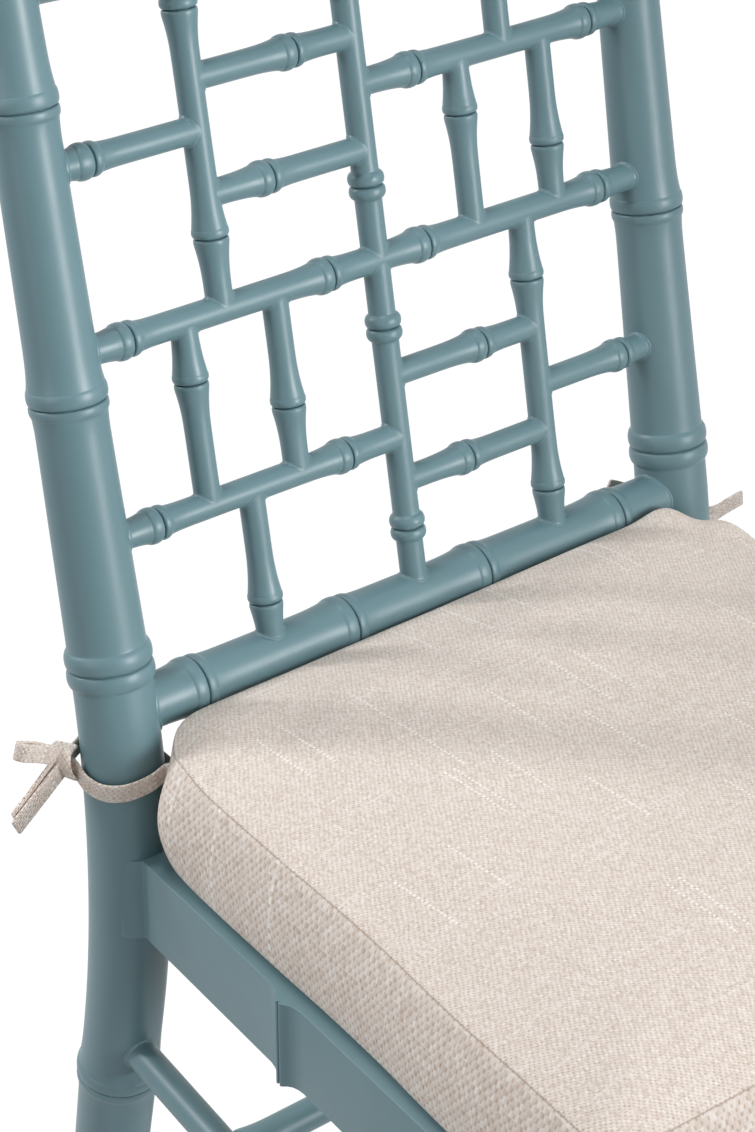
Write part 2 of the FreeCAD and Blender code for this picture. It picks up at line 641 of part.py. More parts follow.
# Seat panel: a board let in level with the tops of the rails, notched round the posts and legs.
rear_line = rear_half + dims.panel_gap
front_line = dims.frame_depth - rail_inner - dims.panel_gap
panel_edges = ((rear_line, LEFT), (front_line, LEFT), (front_line, RIGHT), (rear_line, RIGHT))
panel_corners = [(inner_width(forward, dims.panel_gap) * side, -forward) for forward, side in panel_edges]
panel_base = dims.seat_height - dims.panel_thickness
panel = board("seat_panel_board", panel_corners, dims.panel_thickness, seat_frame(panel_base))
panel_rooms = pole_room("seat_panel", dims.panel_thickness, panel_base)
keep("seat_panel", cut("seat_panel_notched", panel, panel_rooms))

# Corner blocks: glued into the four corners under the panel. Each is screwed to both of its rails,
# with the heads sunk in counterbores, and one screw goes up through it into the panel.
block_base = panel_base - dims.block_height
block_rooms = pole_room("corner_block", dims.block_height, block_base)
screw_height = block_base + dims.block_height / 2
screw_radius, head_radius = dims.screw_diameter / 2, dims.screw_head_diameter / 2
block_screws = []
panel_screws = []


def screw(name, place, direction, shank):
    """A pan-head wood screw whose head seats at a place and whose shank points along a direction."""
    head = dims.screw_head_height
    outline = [(ZERO, ZERO), (ZERO, head_radius * 0.8), (head * 0.4, head_radius), (head, head_radius),
               (head, screw_radius), (head + shank, screw_radius), (head + shank, ZERO)]
    return turned(name, outline, along(along_axis(place, direction), -head))


def in_seat(side, across, forward, height):
    return Vector(side * float(across), seat_y - float(forward), float(height))


RAIL_SCREW_SHARE = 0.55
PANEL_SCREW_SHARE = 0.3
for end_name, line, step in (("rear", rear_half, 1), ("front", dims.frame_depth - rail_inner, -1)):
    for side, side_name in SIDES:
        name = f"corner_block_{end_name}_{side_name}"
        corner = inner_width(line, ZERO)
        tip_line = line + dims.block_leg * step
        corners = [(corner * side, -line), ((corner - dims.block_leg) * side, -line),
                   (inner_width(tip_line, ZERO) * side, -tip_line)]
        body = board(f"{name}_board", corners, dims.block_height, seat_frame(block_base))
        keep(name, cut(f"{name}_notched", body, block_rooms))
        screw_line = line + dims.block_leg * step * RAIL_SCREW_SHARE
        side_face = in_seat(side, inner_width(screw_line, ZERO), screw_line, screw_height)
        end_face = in_seat(side, corner - dims.block_leg * RAIL_SCREW_SHARE, line, screw_height)
        for rail, face, out in ((f"side_rail_{side_name}", side_face, Vector(side, 0, 0)),
                                (f"{end_name}_rail", end_face, Vector(0, step, 0))):
            place = face - out * float(dims.screw_seat)
            fixing = screw(f"{name}_screw_{rail}", place, out, dims.screw_seat + dims.screw_bite)
            bore = peg(f"{name}_bore_{rail}", head_radius + dims.fit, dims.block_leg, along_axis(place, -out))
            block_screws.append(fixing)
            pieces[name].cutters += [fixing, bore]
            pieces[rail].cutters.append(fixing)
        screw_line = line + dims.block_leg * step * PANEL_SCREW_SHARE
        place = in_seat(side, inner_width(screw_line, ZERO) - dims.block_leg * PANEL_SCREW_SHARE, screw_line,
                        block_base + dims.screw_head_height)
        fixing = screw(f"{name}_screw_panel", place, UP,
                       dims.block_height - dims.screw_head_height + dims.panel_bite)
        panel_screws.append(fixing)
        pieces[name].cutters.append(fixing)
        pieces["seat_panel"].cutters.append(fixing)

# Foot glides: turned discs with a pin driven up into each leg.
glide_radius, pin_radius = dims.glide_diameter / 2, dims.glide_pin_diameter / 2
GLIDE_EDGE = 0.85
for place, axis_at in (("rear", rear_axis), ("front", front_axis)):
    for side, side_name in SIDES:
        name = f"foot_glide_{place}_{side_name}"
        foot = axis_at(side, dims.glide_height)
        frame = Placement(Vector(foot.x, foot.y, 0), Rotation())
        pin_top = dims.glide_height + dims.glide_pin_length
        outline = [(ZERO, ZERO), (ZERO, glide_radius * GLIDE_EDGE), (dims.glide_height * 0.5, glide_radius),
                   (dims.glide_height, glide_radius), (dims.glide_height, pin_radius), (pin_top, pin_radius),
                   (pin_top, ZERO)]
        keep(name, turned(f"{name}_turning", outline, frame))
        leg_name = f"rear_post_{side_name}" if place == "rear" else f"front_leg_{side_name}"
        hole_depth = dims.glide_pin_length + dims.end_fit
        hole = peg(f"{name}_hole", pin_radius + dims.fit, hole_depth, along(frame, dims.glide_height))
        pieces[leg_name].cutters.append(hole)

# Box cushion: a closed pad on the seat, with full sides and a crowned top. Its rear corners are
# clipped to clear the posts. Half its plan is given across and forward, from the middle of the rear.
cushion_in = dims.cushion_inset - dims.rail_proud
clip = (post_radius + dims.cushion_post_gap) * math.sqrt(2)
clip_rear = half - clip + dims.cushion_rear
clip_forward = (clip - cushion_in * slant) / (Size(1) - taper)
cushion_front = dims.frame_depth + dims.rail_proud + dims.cushion_overhang
cushion_depth = cushion_front - dims.cushion_rear


def cushion_side(forward):
    return half + forward * taper - cushion_in * slant


EASED = 0.7
SIDE_LEAD = 1.5
FULLEST = 0.33
CORNER_TRIM = 0.3
eased = dims.cushion_edge * EASED
side_start = clip_forward + dims.cushion_edge * SIDE_LEAD
side_middle = cushion_front * FULLEST
side_end = cushion_front - dims.cushion_corner
corner_trim = dims.cushion_corner * CORNER_TRIM
HALF_PLAN = (
    (clip_rear - dims.cushion_edge, dims.cushion_rear),
    (clip_rear + eased, dims.cushion_rear + eased),
    (cushion_side(clip_forward) - eased, clip_forward - eased),
    (cushion_side(side_start), side_start),
    (cushion_side(side_middle) + dims.cushion_bow, side_middle),
    (cushion_side(side_end), side_end),
    (cushion_side(cushion_front) - corner_trim, cushion_front - corner_trim),
    (cushion_side(cushion_front) - dims.cushion_corner, cushion_front))
# The share of the swell that each of those corners takes sideways and forward, half-way up.
HALF_BOW = ((0, 0), (0, 0), (0, 0), (0.3, 0), (1, 0), (1, 0), (0.7, 0.7), (0, 1))
# The levels of the pad from its base up: height, share of the plan left and share of the swell.
LEVELS = ((ZERO, 1, 0), (dims.cushion_seam / 2, 1, 1), (dims.cushion_seam, 1, 0),
          (dims.cushion_seam + dims.cushion_crown * 0.48, 0.925, 0),
          (dims.cushion_seam + dims.cushion_crown, 0.72, 0))
# The crown narrows towards a line at this share of the depth, so that its rear stays steep.
CROWN_LINE = 0.2
crown_line = dims.cushion_rear + cushion_depth * CROWN_LINE
cushion = document.addObject("PartDesign::Body", "seat_cushion_body")
levels = []
for index, (height, left_over, swell) in enumerate(LEVELS):
    right_plan = []
    for (across, forward), (sideways, ahead) in zip(HALF_PLAN, HALF_BOW):
        across = (across + dims.cushion_bow * (sideways * swell)) * left_over
        forward = forward + dims.cushion_bow * (ahead * swell)
        right_plan.append((across, -(crown_line + (forward - crown_line) * left_over)))
    plan = right_plan + [(-across, forward) for across, forward in reversed(right_plan)]
    level = outline_sketch(cushion, f"seat_cushion_level_{index}", "XY_Plane", plan)
    level.AttachmentOffset = Placement(Vector(0, 0, float(height)), Rotation())
    level.setExpression("AttachmentOffset.Base.z", height.text)
    levels.append(level)
pad = cushion.newObject("PartDesign::AdditiveLoft", "seat_cushion_pad")
pad.Profile = levels[0]
pad.Sections = levels[1:]
pad.Ruled = True
cushion.Placement = seat_frame(dims.seat_height + dims.soft_gap)
keep("seat_cushion", cushion)

# Ties: fabric tape from each rear corner of the cushion round its post, with a knot, a loop and a
# free end. Each free end has a lean from the knot, seen from the front, and a turn about the post.
TIES = ((LEFT, "left", 160, 40, -15), (RIGHT, "right", 20, 10, 35))
band_radius = post_radius + dims.soft_gap
tie_share = bend_share(float(dims.seat_height + dims.tie_rise))
for side, side_name, knot_turn, tail_fall, bow_fall in TIES:
    name = f"cushion_tie_{side_name}"
    centre_point = bend_corner(side) + bend_offset(tie_share)
    frame = along_axis(centre_point, -bend_slope(tie_share))
    band_outer = band_radius + dims.tie_thickness
    band_outline = [(ZERO, band_radius), (dims.tie_width, band_radius), (dims.tie_width, band_outer),
                    (ZERO, band_outer)]
    band = turned(f"{name}_band", band_outline, along(frame, -dims.tie_width / 2))
    edge = float(dims.tie_width) / 2
    strand_start = band_radius + dims.tie_thickness / 2
    set_back = (centre_point.y - seat_y) / math.sqrt(2)
    strand_length = post_radius + dims.cushion_post_gap + set_back - dims.soft_gap - strand_start
    strand_frame = Placement(centre_point, Rotation(UP, -90 - 45 * side))
    strand_corner = Placement(Vector(float(strand_start), -edge, -edge), Rotation())
    strand = block(f"{name}_strand", strand_length, dims.tie_width, dims.tie_width,
                   strand_frame * strand_corner)
    knot_radius = dims.knot_diameter / 2
    knot_outline = [(ZERO, ZERO), (ZERO, knot_radius * 0.5), (knot_radius * 0.5, knot_radius * 0.9),
                    (knot_radius * 1.5, knot_radius * 0.9), (knot_radius * 2, knot_radius * 0.5),
                    (knot_radius * 2, ZERO)]
    knot_place = Placement(Vector(float(band_outer + knot_radius * 0.9), 0, 0), Rotation())
    knot_centre = Placement(centre_point, Rotation(UP, knot_turn)) * knot_place
    knot = turned(f"{name}_knot", knot_outline, along(knot_centre, -knot_radius))
    ends = []
    for end_name, length, thick, fall in (("tail", dims.tail_length, dims.tie_thickness, tail_fall),
                                          ("bow", dims.bow_length, dims.tie_thickness * 2, bow_fall)):
        lean = knot_centre * Placement(Vector(), Rotation(Vector(0, 1, 0), fall))
        corner = Placement(Vector(0, -float(thick) / 2, -edge), Rotation())
        ends.append(block(f"{name}_{end_name}", length, thick, dims.tie_width, lean * corner))
    keep(name, fuse(f"{name}_whole", [band, strand, knot] + ends))

keep("block_screws", group("block_screws_set", block_screws))
keep("panel_screws", group("panel_screws_set", panel_screws))

# Sockets, mortises and holes are cut last, so that every piece is scribed to whole mates.
finished = []
for name, piece in pieces.items():
    solid = piece.solid
    if piece.cutters:
        solid = cut(f"{name}_cut", solid, group(f"{name}_cutters", piece.cutters))
    solid.Label = name
    finished.append(solid)
document.recompute()

faults = [item.Name for item in document.Objects if {"Invalid", "Error"} & set(item.State)]
faults += [item.Label for item in finished if item.Shape.isNull() or not item.Shape.isValid()]
if faults:
    raise RuntimeError("Not built: " + ", ".join(faults))
os.makedirs("parts", exist_ok=True)
for item in finished:
    item.Shape.exportStep(f"parts/{item.Label}.step")
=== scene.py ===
import math

import bpy
from mathutils import Matrix, Vector


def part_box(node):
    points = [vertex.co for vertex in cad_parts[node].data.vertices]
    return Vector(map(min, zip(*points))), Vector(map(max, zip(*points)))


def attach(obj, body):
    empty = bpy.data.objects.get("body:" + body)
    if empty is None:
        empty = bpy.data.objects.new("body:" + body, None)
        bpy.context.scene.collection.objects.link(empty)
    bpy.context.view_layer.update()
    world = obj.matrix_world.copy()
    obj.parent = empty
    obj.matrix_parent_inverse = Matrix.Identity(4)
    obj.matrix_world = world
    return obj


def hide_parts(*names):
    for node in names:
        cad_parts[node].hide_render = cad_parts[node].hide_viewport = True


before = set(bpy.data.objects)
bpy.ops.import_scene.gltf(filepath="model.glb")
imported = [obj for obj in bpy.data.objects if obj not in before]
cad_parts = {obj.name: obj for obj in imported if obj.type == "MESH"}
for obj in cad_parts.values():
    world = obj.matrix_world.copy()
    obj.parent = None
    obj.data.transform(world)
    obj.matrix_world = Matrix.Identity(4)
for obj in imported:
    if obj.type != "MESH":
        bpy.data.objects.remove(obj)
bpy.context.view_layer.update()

# Rear posts: two beech turnings, bamboo ringed and bent at the seat, that are back post and rear leg
# in one. They are steamed and bent, sanded, sealed and sprayed in a satin blue-green lacquer.
MM = 0.001
RECLINE = math.radians(10.5)
RISING = Vector((0, math.sin(RECLINE), math.cos(RECLINE)))
FALLING = Vector((0, math.sin(RECLINE), -math.cos(RECLINE)))
FACING = Vector((0, -math.cos(RECLINE), math.sin(RECLINE)))
SIDES = ((-1, "left"), (1, "right"))
LATTICE_UP = 270 * MM
STICK_FORWARD = 3 * MM
MIDDLE_RAIL_RISE = 2.7 * MM
GLIDE_HEIGHT = 5 * MM


def middle_of(node):
    low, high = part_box(node)
    return (low + high) / 2


POST_REACH = middle_of("rear_post_right").x
LATTICE_CENTRE = middle_of("middle_rail") - RISING * MIDDLE_RAIL_RISE - FACING * STICK_FORWARD
LATTICE_CENTRE.x = 0
BEND_CORNER = LATTICE_CENTRE - RISING * LATTICE_UP

# Bamboo rings in millimetres, from the groove of the ring: places along the stick and rise of the
# surface. A flared ring swells from one side into a slim bead and falls away in a long lip, a stepped
# ring has a broader bead and a short lip, and a double ring has two equal beads.
FLARED = ((-26, 0), (-20, 0.25), (-14, 0.74), (-10, 1.24), (-7, 1.72), (-5.5, 1.98), (-5, 1.95),
          (-4.6, 2.2), (-3.4, 2.5), (-2.1, 2.52), (-1.1, 2.28), (-0.6, 1.9), (-0.3, 1.2), (0, -0.7),
          (0.3, 1.3), (0.6, 1.75), (1.2, 2.02), (2.4, 2.08), (4, 1.86), (6.5, 1.42), (9.5, 0.98),
          (13.5, 0.52), (18, 0.2), (24, 0))
STEPPED = ((-26, 0), (-19, 0.2), (-13, 0.62), (-9.6, 1.08), (-8, 1.42), (-7.5, 1.4), (-7.15, 1.75),
           (-6.3, 2.2), (-4.9, 2.5), (-3.2, 2.56), (-1.6, 2.32), (-0.7, 1.9), (-0.35, 1.25), (0, -0.7),
           (0.35, 1.15), (0.7, 1.7), (1.4, 2), (2.6, 2.08), (3.8, 1.94), (4.8, 1.55), (5.3, 1.05), (5.7, 0.8),
           (8, 0.52), (12, 0.18), (17, 0))
HALF_DOUBLE = ((8.6, 0), (7.7, 0.05), (7.3, 0.5), (6.7, 1.5), (5.4, 2.36), (3.8, 2.7), (2, 2.5), (0.9, 2),
               (0.4, 1.3))
DOUBLE = tuple((-place, rise) for place, rise in HALF_DOUBLE) + ((0, -0.7),) + tuple(reversed(HALF_DOUBLE))
CLOSEST_STEPS = 0.15 * MM


def between(pairs, place):
    """The value at a place on a line drawn through (place, value) pairs."""
    if place <= pairs[0][0]:
        return pairs[0][1]
    for (before, low), (after, high) in zip(pairs, pairs[1:]):
        if place <= after:
            return low + (high - low) * (place - before) / max(after - before, 1e-9)
    return pairs[-1][1]


def turned_outline(base, rings, extra=()):
    """The (place, radius) pairs of a turning, from its bare outline and its rings.

    Each ring is given as its kind, place, stretch and lift.
    """
    places = [place for place, _ in base] + list(extra)
    for kind, at, stretch, lift in rings:
        places += [at + place * stretch * MM for place, _ in kind]
    first, last = base[0][0], base[-1][0]
    kept = []
    for place in sorted(places):
        if first <= place <= last and (not kept or place - kept[-1] > CLOSEST_STEPS):
            kept.append(place)
    outline = []
    for place in kept:
        rise = sum(between(kind, (place - at) / stretch / MM) * lift * MM
                   for kind, at, stretch, lift in rings)
        outline.append((place, between(base, place) + rise))
    return outline


def pick(piece):
    """Makes a piece the only one selected, and the active one."""
    bpy.ops.object.select_all(action="DESELECT")
    piece.select_set(True)
    bpy.context.view_layer.objects.active = piece


def apply_modifier(piece, kind, **settings):
    pick(piece)
    bpy.ops.object.modifier_add(type=kind)
    modifier = piece.modifiers[-1]
    for setting, value in settings.items():
        setattr(modifier, setting, value)
    bpy.ops.object.modifier_apply(modifier=modifier.name)


def face_outwards():
    """Turns the faces of the active piece outwards."""
    bpy.ops.object.mode_set(mode="EDIT")
    bpy.ops.mesh.select_all(action="SELECT")
    bpy.ops.mesh.normals_make_consistent(inside=False)
    bpy.ops.object.mode_set(mode="OBJECT")


def turn_on_lathe(name, outline, facets):
    """A closed turning along Z: a disc extruded and resized from step to step, then smoothed."""
    true_size = 3 / (2 + math.cos(2 * math.pi / facets))
    bpy.ops.mesh.primitive_circle_add(vertices=facets, radius=outline[0][1] * true_size, fill_type="NGON")
    piece = bpy.context.object
    piece.name = name
    bpy.ops.object.mode_set(mode="EDIT")
    bpy.ops.mesh.select_all(action="SELECT")
    for (before, was), (place, radius) in zip(outline, outline[1:]):
        bpy.ops.mesh.extrude_region_move(TRANSFORM_OT_translate={"value": (0, 0, place - before)})
        change = radius / was
        bpy.ops.transform.resize(value=(change, change, 1), center_override=(0, 0, place - outline[0][0]))
    bpy.ops.object.mode_set(mode="OBJECT")
    face_outwards()
    apply_modifier(piece, "SUBSURF", levels=2, render_levels=2)
    bpy.ops.object.shade_smooth()
    return piece


def settle(piece, place, material, *nodes, slot="painted_wood"):
    """Puts a finished piece in its place, with its object at the origin, and hands it to the frame."""
    pick(piece)
    piece.matrix_world = place
    bpy.ops.object.transform_apply(location=True, rotation=True, scale=True)
    piece.data.materials.clear()
    piece.data.materials.append(material)
    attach(piece, "root")
    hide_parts(*nodes)


def new_material(name):
    """A material with its node tree and its shader."""
    material = bpy.data.materials.new(name)
    material.use_nodes = True
    return material, material.node_tree, material.node_tree.nodes["Principled BSDF"]


def feed(tree, node, inputs):
    """Sets a node's inputs to values, or links them to the outputs that are given."""
    for socket, value in inputs.items():
        if isinstance(value, bpy.types.NodeSocket):
            tree.links.new(value, node.inputs[socket])
        else:
            node.inputs[socket].default_value = value
    return node


def add_node(tree, kind, inputs, **settings):
    node = tree.nodes.new("ShaderNode" + kind)
    for setting, value in settings.items():
        setattr(node, setting, value)
    return feed(tree, node, inputs)


def on_piece(tree):
    return add_node(tree, "TexCoord", {}).outputs["Object"]


def noise(tree, place, scale, detail=2, distortion=0):
    return add_node(tree, "TexNoise", {"Vector": place, "Scale": scale, "Detail": detail,
                                       "Distortion": distortion}).outputs["Fac"]


def ramp(tree, value, *stops):
    """Colours between stops, each a position and a colour."""
    node = add_node(tree, "ValToRGB", {"Fac": value})
    elements = node.color_ramp.elements
    while len(elements) < len(stops):
        elements.new(0.5)
    for element, (position, colour) in zip(elements, stops):
        element.position = position
        element.color = colour + (1,)
    return node.outputs["Color"]


def ranged(tree, value, low, high):
    """A value from 0 to 1, brought to a range."""
    return add_node(tree, "MapRange", {"Value": value, "To Min": low, "To Max": high}).outputs["Result"]


def bumped(tree, height, strength, distance):
    bump = {"Height": height, "Strength": strength, "Distance": distance}
    return add_node(tree, "Bump", bump).outputs["Normal"]


def satin_lacquer():
    """Sprayed satin lacquer: slight drift of tone, sheen that varies a little, and fine orange peel."""
    material, tree, shader = new_material("satin_lacquer")
    place = on_piece(tree)
    tone = ramp(tree, noise(tree, place, 9, 4), (0.3, (0.112, 0.204, 0.232)), (0.7, (0.128, 0.226, 0.256)))
    feed(tree, shader, {"Base Color": tone,
                        "Roughness": ranged(tree, noise(tree, place, 60, 3), 0.36, 0.46),
                        "Normal": bumped(tree, noise(tree, place, 520), 0.06, 0.6 * MM),
                        "Specular IOR Level": 0.5})
    return material


lacquer = satin_lacquer()

POST_FACETS = 16
POST_TOP_RISE = (190.5 + 26.5) * MM
BEND_UP = 98 * MM
BEND_DOWN = 118 * MM
LEG_RUN = 660 * MM
CORNER_DROP = 4 * MM
UPPER_LENGTH = LATTICE_UP + POST_TOP_RISE - BEND_UP


def bend_point(share):
    return RISING * BEND_UP * (1 - share) ** 2 + FALLING * BEND_DOWN * share ** 2


BEND_STEPS = 200
bend_length = sum((bend_point((step + 1) / BEND_STEPS) - bend_point(step / BEND_STEPS)).length
                  for step in range(BEND_STEPS))
leg_start = UPPER_LENGTH + bend_length


def down_leg(fall):
    """Distance along a rear post to a fall from the tops of the seat rails."""
    return leg_start + (fall * MM - CORNER_DROP) / math.cos(RECLINE) - BEND_DOWN


# Outlines as pairs of place and radius in millimetres. The place is the distance from the top, for the
# bend the share of its run, and for the lower leg the fall from the tops of the seat rails.
POST_TAPER = ((0, 2), (0.1, 9), (0.6, 12.4), (1.9, 14.4), (4.4, 15.25), (87, 16.9), (236, 18.7), (378, 20.9))
BEND_SWELL = ((0, 21), (0.25, 21.9), (0.5, 22.2), (0.75, 21.9), (1, 21.5))
LEG_TAPER = ((177, 21.45), (320, 20.15), (463, 18.8))
POST_FOOT = ((612, 17), (640, 17))
POST_LEG_RINGS = (163, 320, 463)
post_outline = [(place * MM, radius * MM) for place, radius in POST_TAPER]
post_outline += [(UPPER_LENGTH + bend_length * share, radius * MM) for share, radius in BEND_SWELL]
post_outline += [(down_leg(fall), radius * MM) for fall, radius in LEG_TAPER + POST_FOOT]
post_rings = [(STEPPED, 87 * MM, 1.1, 0.85), (STEPPED, 236 * MM, 1.1, 0.88), (DOUBLE, 378 * MM, 1.4, 0.85)]
post_rings += [(STEPPED, down_leg(fall), 1.1, 0.9) for fall in POST_LEG_RINGS]
for side, side_name in SIDES:
    corner = BEND_CORNER + Vector((side * POST_REACH, 0, 0))
    post = turn_on_lathe(f"post_{side_name}", turned_outline(post_outline, post_rings), POST_FACETS)
    bpy.ops.curve.primitive_bezier_curve_add()
    path = bpy.context.object
    path.data.resolution_u = 48
    path.data.splines.clear()
    spline = path.data.splines.new("BEZIER")
    spline.bezier_points.add(3)
    stations = (RISING * (LATTICE_UP + POST_TOP_RISE), RISING * BEND_UP, FALLING * BEND_DOWN,
                FALLING * LEG_RUN)
    for point, station in zip(spline.bezier_points, stations):
        point.co = station
        point.handle_left_type = point.handle_right_type = "FREE"
    for start, end in zip(spline.bezier_points, list(spline.bezier_points)[1:]):
        start.handle_right = start.co.lerp(end.co, 1 / 3)
        end.handle_left = start.co.lerp(end.co, 2 / 3)
    spline.bezier_points[1].handle_right = spline.bezier_points[1].co / 3
    spline.bezier_points[2].handle_left = spline.bezier_points[2].co / 3
    apply_modifier(post, "CURVE", object=path, deform_axis="POS_Z")
    bpy.data.objects.remove(path)
    post.location = corner
    pick(post)
    bpy.ops.object.transform_apply(location=True, rotation=True, scale=True)
    bpy.ops.object.mode_set(mode="EDIT")
    bpy.ops.mesh.select_all(action="SELECT")
    bpy.ops.mesh.bisect(plane_co=(0, 0, GLIDE_HEIGHT), plane_no=(0, 0, 1), use_fill=True, clear_inner=True)
    bpy.ops.object.mode_set(mode="OBJECT")
    face_outwards()
    settle(post, Matrix(), lacquer, f"rear_post_{side_name}")

# Front legs: straight beech turnings with flared rings and the same lacquer, level with the seat rails
# at the top, mortised for the rails and stretchers, and standing on nylon glides.
leg_middle = middle_of("front_leg_right")
LEG_REACH, LEG_Y = leg_middle.x, leg_middle.y
SEAT_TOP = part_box("rear_rail")[1].z
LEG_LENGTH = SEAT_TOP - GLIDE_HEIGHT
LEG_CAP = ((0, 2), (0.1, 17), (0.7, 20.2), (2.2, 21.6), (5, 21.75))
LEG_FOOT = ((3, 17), (0.8, 16.4), (0.1, 14.5), (0, 4))
leg_outline = [(place * MM, radius * MM) for place, radius in LEG_CAP + LEG_TAPER]
leg_outline += [(LEG_LENGTH - above * MM, radius * MM) for above, radius in LEG_FOOT]
leg_rings = [(FLARED, fall * MM, 1.1, 0.9) for fall, _ in LEG_TAPER]
for side, side_name in SIDES:
    leg = turn_on_lathe(f"leg_{side_name}", turned_outline(leg_outline, leg_rings), POST_FACETS)
    down = Matrix.Translation((side * LEG_REACH, LEG_Y, SEAT_TOP)) @ Matrix.Rotation(math.pi, 4, "X")
    settle(leg, down, lacquer, f"front_leg_{side_name}")

# Back lattice: turned sticks in one plane, scribed and tenoned into each other and into the posts. The
# sprayed lacquer bridges each joint with a small fillet.
STICK_FACETS = 12
FILLET = 1.7 * MM
SADDLE_REACH = 11 * MM
SADDLE_EASE = 8.5 * MM
CORE_SHARE = 0.6
SHOULDER_STEPS = (-2.6, -0.9, 0.3, 1.2, 2.3, 4.5, 9)


def meeting(origin, direction, mate, far):
    """Distance along a line at which it enters or leaves a mate: axis point, axis direction and radius."""
    point, axis, radius = mate
    gap = origin - point
    gap = gap - axis * gap.dot(axis)
    run = direction - axis * direction.dot(axis)
    half = run.dot(gap) / run.dot(run)
    room = half * half - (gap.dot(gap) - radius * radius) / run.dot(run)
    root = math.sqrt(max(room, 0))
    return -half + root if far else -half - root


def ease(share):
    share = max(min(share, 1), 0)
    return share * share * (3 - 2 * share)


def turned_stick(name, start, end, radius, rings, mates, node):
    """A stick between the axes of two mates, drawn out to a fillet where it meets each of them."""
    axis = (end - start).normalized()
    cross = (mates[0][1] - axis * axis.dot(mates[0][1])).normalized()
    side = axis.cross(cross)
    place = Matrix((cross, side, axis)).transposed().to_4x4()
    place.translation = start
    shoulders = (meeting(start + cross * radius, axis, mates[0], True),
                 meeting(start + cross * radius, axis, mates[1], False))
    steps = [shoulders[0] + step * MM for step in SHOULDER_STEPS]
    steps += [shoulders[1] - step * MM for step in SHOULDER_STEPS]
    base = [(min(steps), radius), (max(steps), radius)]
    stick = turn_on_lathe(name, turned_outline(base, rings, steps), STICK_FACETS)
    for vertex in stick.data.vertices:
        along = vertex.co.z + min(steps)
        out = Vector((vertex.co.x, vertex.co.y, 0))
        if out.length > radius * CORE_SHARE:
            spoke = out.normalized()
            foot = start + cross * spoke.x * radius + side * spoke.y * radius
            for shoulder, mate, sign in ((shoulders[0], mates[0], 1), (shoulders[1], mates[1], -1)):
                from_shoulder = (along - shoulder) * sign
                if from_shoulder < SADDLE_REACH:
                    hold = ease((SADDLE_REACH - from_shoulder) / SADDLE_EASE)
                    saddle = meeting(foot, axis, mate, sign > 0)
                    tangency = 1 - min(radius / mate[2], 1) * spoke.y * spoke.y
                    depth = max(FILLET - max(from_shoulder, 0), 0)
                    swell = FILLET - math.sqrt(FILLET * FILLET - depth * depth)
                    along += (saddle - shoulder) * hold
                    out = out + spoke * swell * tangency
                    break
        vertex.co = (out.x, out.y, along)
    settle(stick, place, lacquer, node)


def on_lattice(across, up, forward=STICK_FORWARD):
    return LATTICE_CENTRE + Vector((across, 0, 0)) + RISING * up + FACING * forward


ACROSS = Vector((1, 0, 0))
END_RAIL_RISE = 190.5 * MM
SHORT_RAIL_RISE = 96.7 * MM
STILE_REACH = 103 * MM
END_RAIL_FORWARD = 0.8 * MM
girths = {"top_rail": 14.25, "bottom_rail": 14.25, "middle_rail": 7.5, "upper_centre_stile": 7.4,
          "lower_centre_stile": 7.4, "lower_left_rail": 7.3, "upper_right_rail": 7.3, "left_stile": 7.3,
          "right_stile": 7.3}
RUNG_GIRTH = 7.1
DOUBLE_LIFT = 0.95


def mate_at(mate, across, up):
    """The axis and radius of what a lattice stick is let into."""
    if mate == "post":
        side = 1 if across > 0 else -1
        return on_lattice(side * POST_REACH, up, 0), RISING, between(post_outline, POST_TOP_RISE - up)
    forward = END_RAIL_FORWARD if mate in ("top_rail", "bottom_rail") else STICK_FORWARD
    axis = ACROSS if mate.endswith("rail") else RISING
    return on_lattice(across, up, forward), axis, girths[mate] * MM


def ringed(kind, *shares):
    return [(kind, share, 1, DOUBLE_LIFT if kind is DOUBLE else 1) for share in shares]


def lattice_stick(node, start, end, rings, mates, forward=STICK_FORWARD):
    """A stick from one lattice place to another: (across, up) in metres."""
    length = math.hypot(end[0] - start[0], end[1] - start[1])
    placed = [(kind, share * length, stretch, lift) for kind, share, stretch, lift in rings]
    turned_stick(f"stick_{node}", on_lattice(*start, forward), on_lattice(*end, forward),
                 girths.get(node, RUNG_GIRTH) * MM, placed,
                 (mate_at(mates[0], *start), mate_at(mates[1], *end)), node)


end_rail_rings = [(STEPPED, share, 1.1, 0.88) for share in (0.12, 0.374, 0.612, 0.868)]
for node, up in (("top_rail", END_RAIL_RISE), ("bottom_rail", -END_RAIL_RISE)):
    lattice_stick(node, (-POST_REACH, up), (POST_REACH, up), end_rail_rings, ("post", "post"),
                  END_RAIL_FORWARD)
lattice_stick("middle_rail", (-POST_REACH, MIDDLE_RAIL_RISE), (POST_REACH, MIDDLE_RAIL_RISE),
              ringed(STEPPED, 0.0925, 0.415, 0.58, 0.897), ("post", "post"))
lattice_stick("upper_centre_stile", (0, END_RAIL_RISE), (0, MIDDLE_RAIL_RISE),
              ringed(DOUBLE, 0.216, 0.785), ("top_rail", "middle_rail"))
lattice_stick("lower_centre_stile", (0, MIDDLE_RAIL_RISE), (0, -END_RAIL_RISE),
              ringed(DOUBLE, 0.195, 0.785), ("middle_rail", "bottom_rail"))
lattice_stick("lower_left_rail", (-POST_REACH, -SHORT_RAIL_RISE), (0, -SHORT_RAIL_RISE),
              ringed(STEPPED, 0.193, 0.815), ("post", "lower_centre_stile"))
lattice_stick("upper_right_rail", (0, SHORT_RAIL_RISE), (POST_REACH, SHORT_RAIL_RISE),
              ringed(STEPPED, 0.193, 0.804), ("upper_centre_stile", "post"))
lattice_stick("left_stile", (-STILE_REACH, END_RAIL_RISE), (-STILE_REACH, MIDDLE_RAIL_RISE),
              ringed(FLARED, 0.17, 0.796), ("top_rail", "middle_rail"))
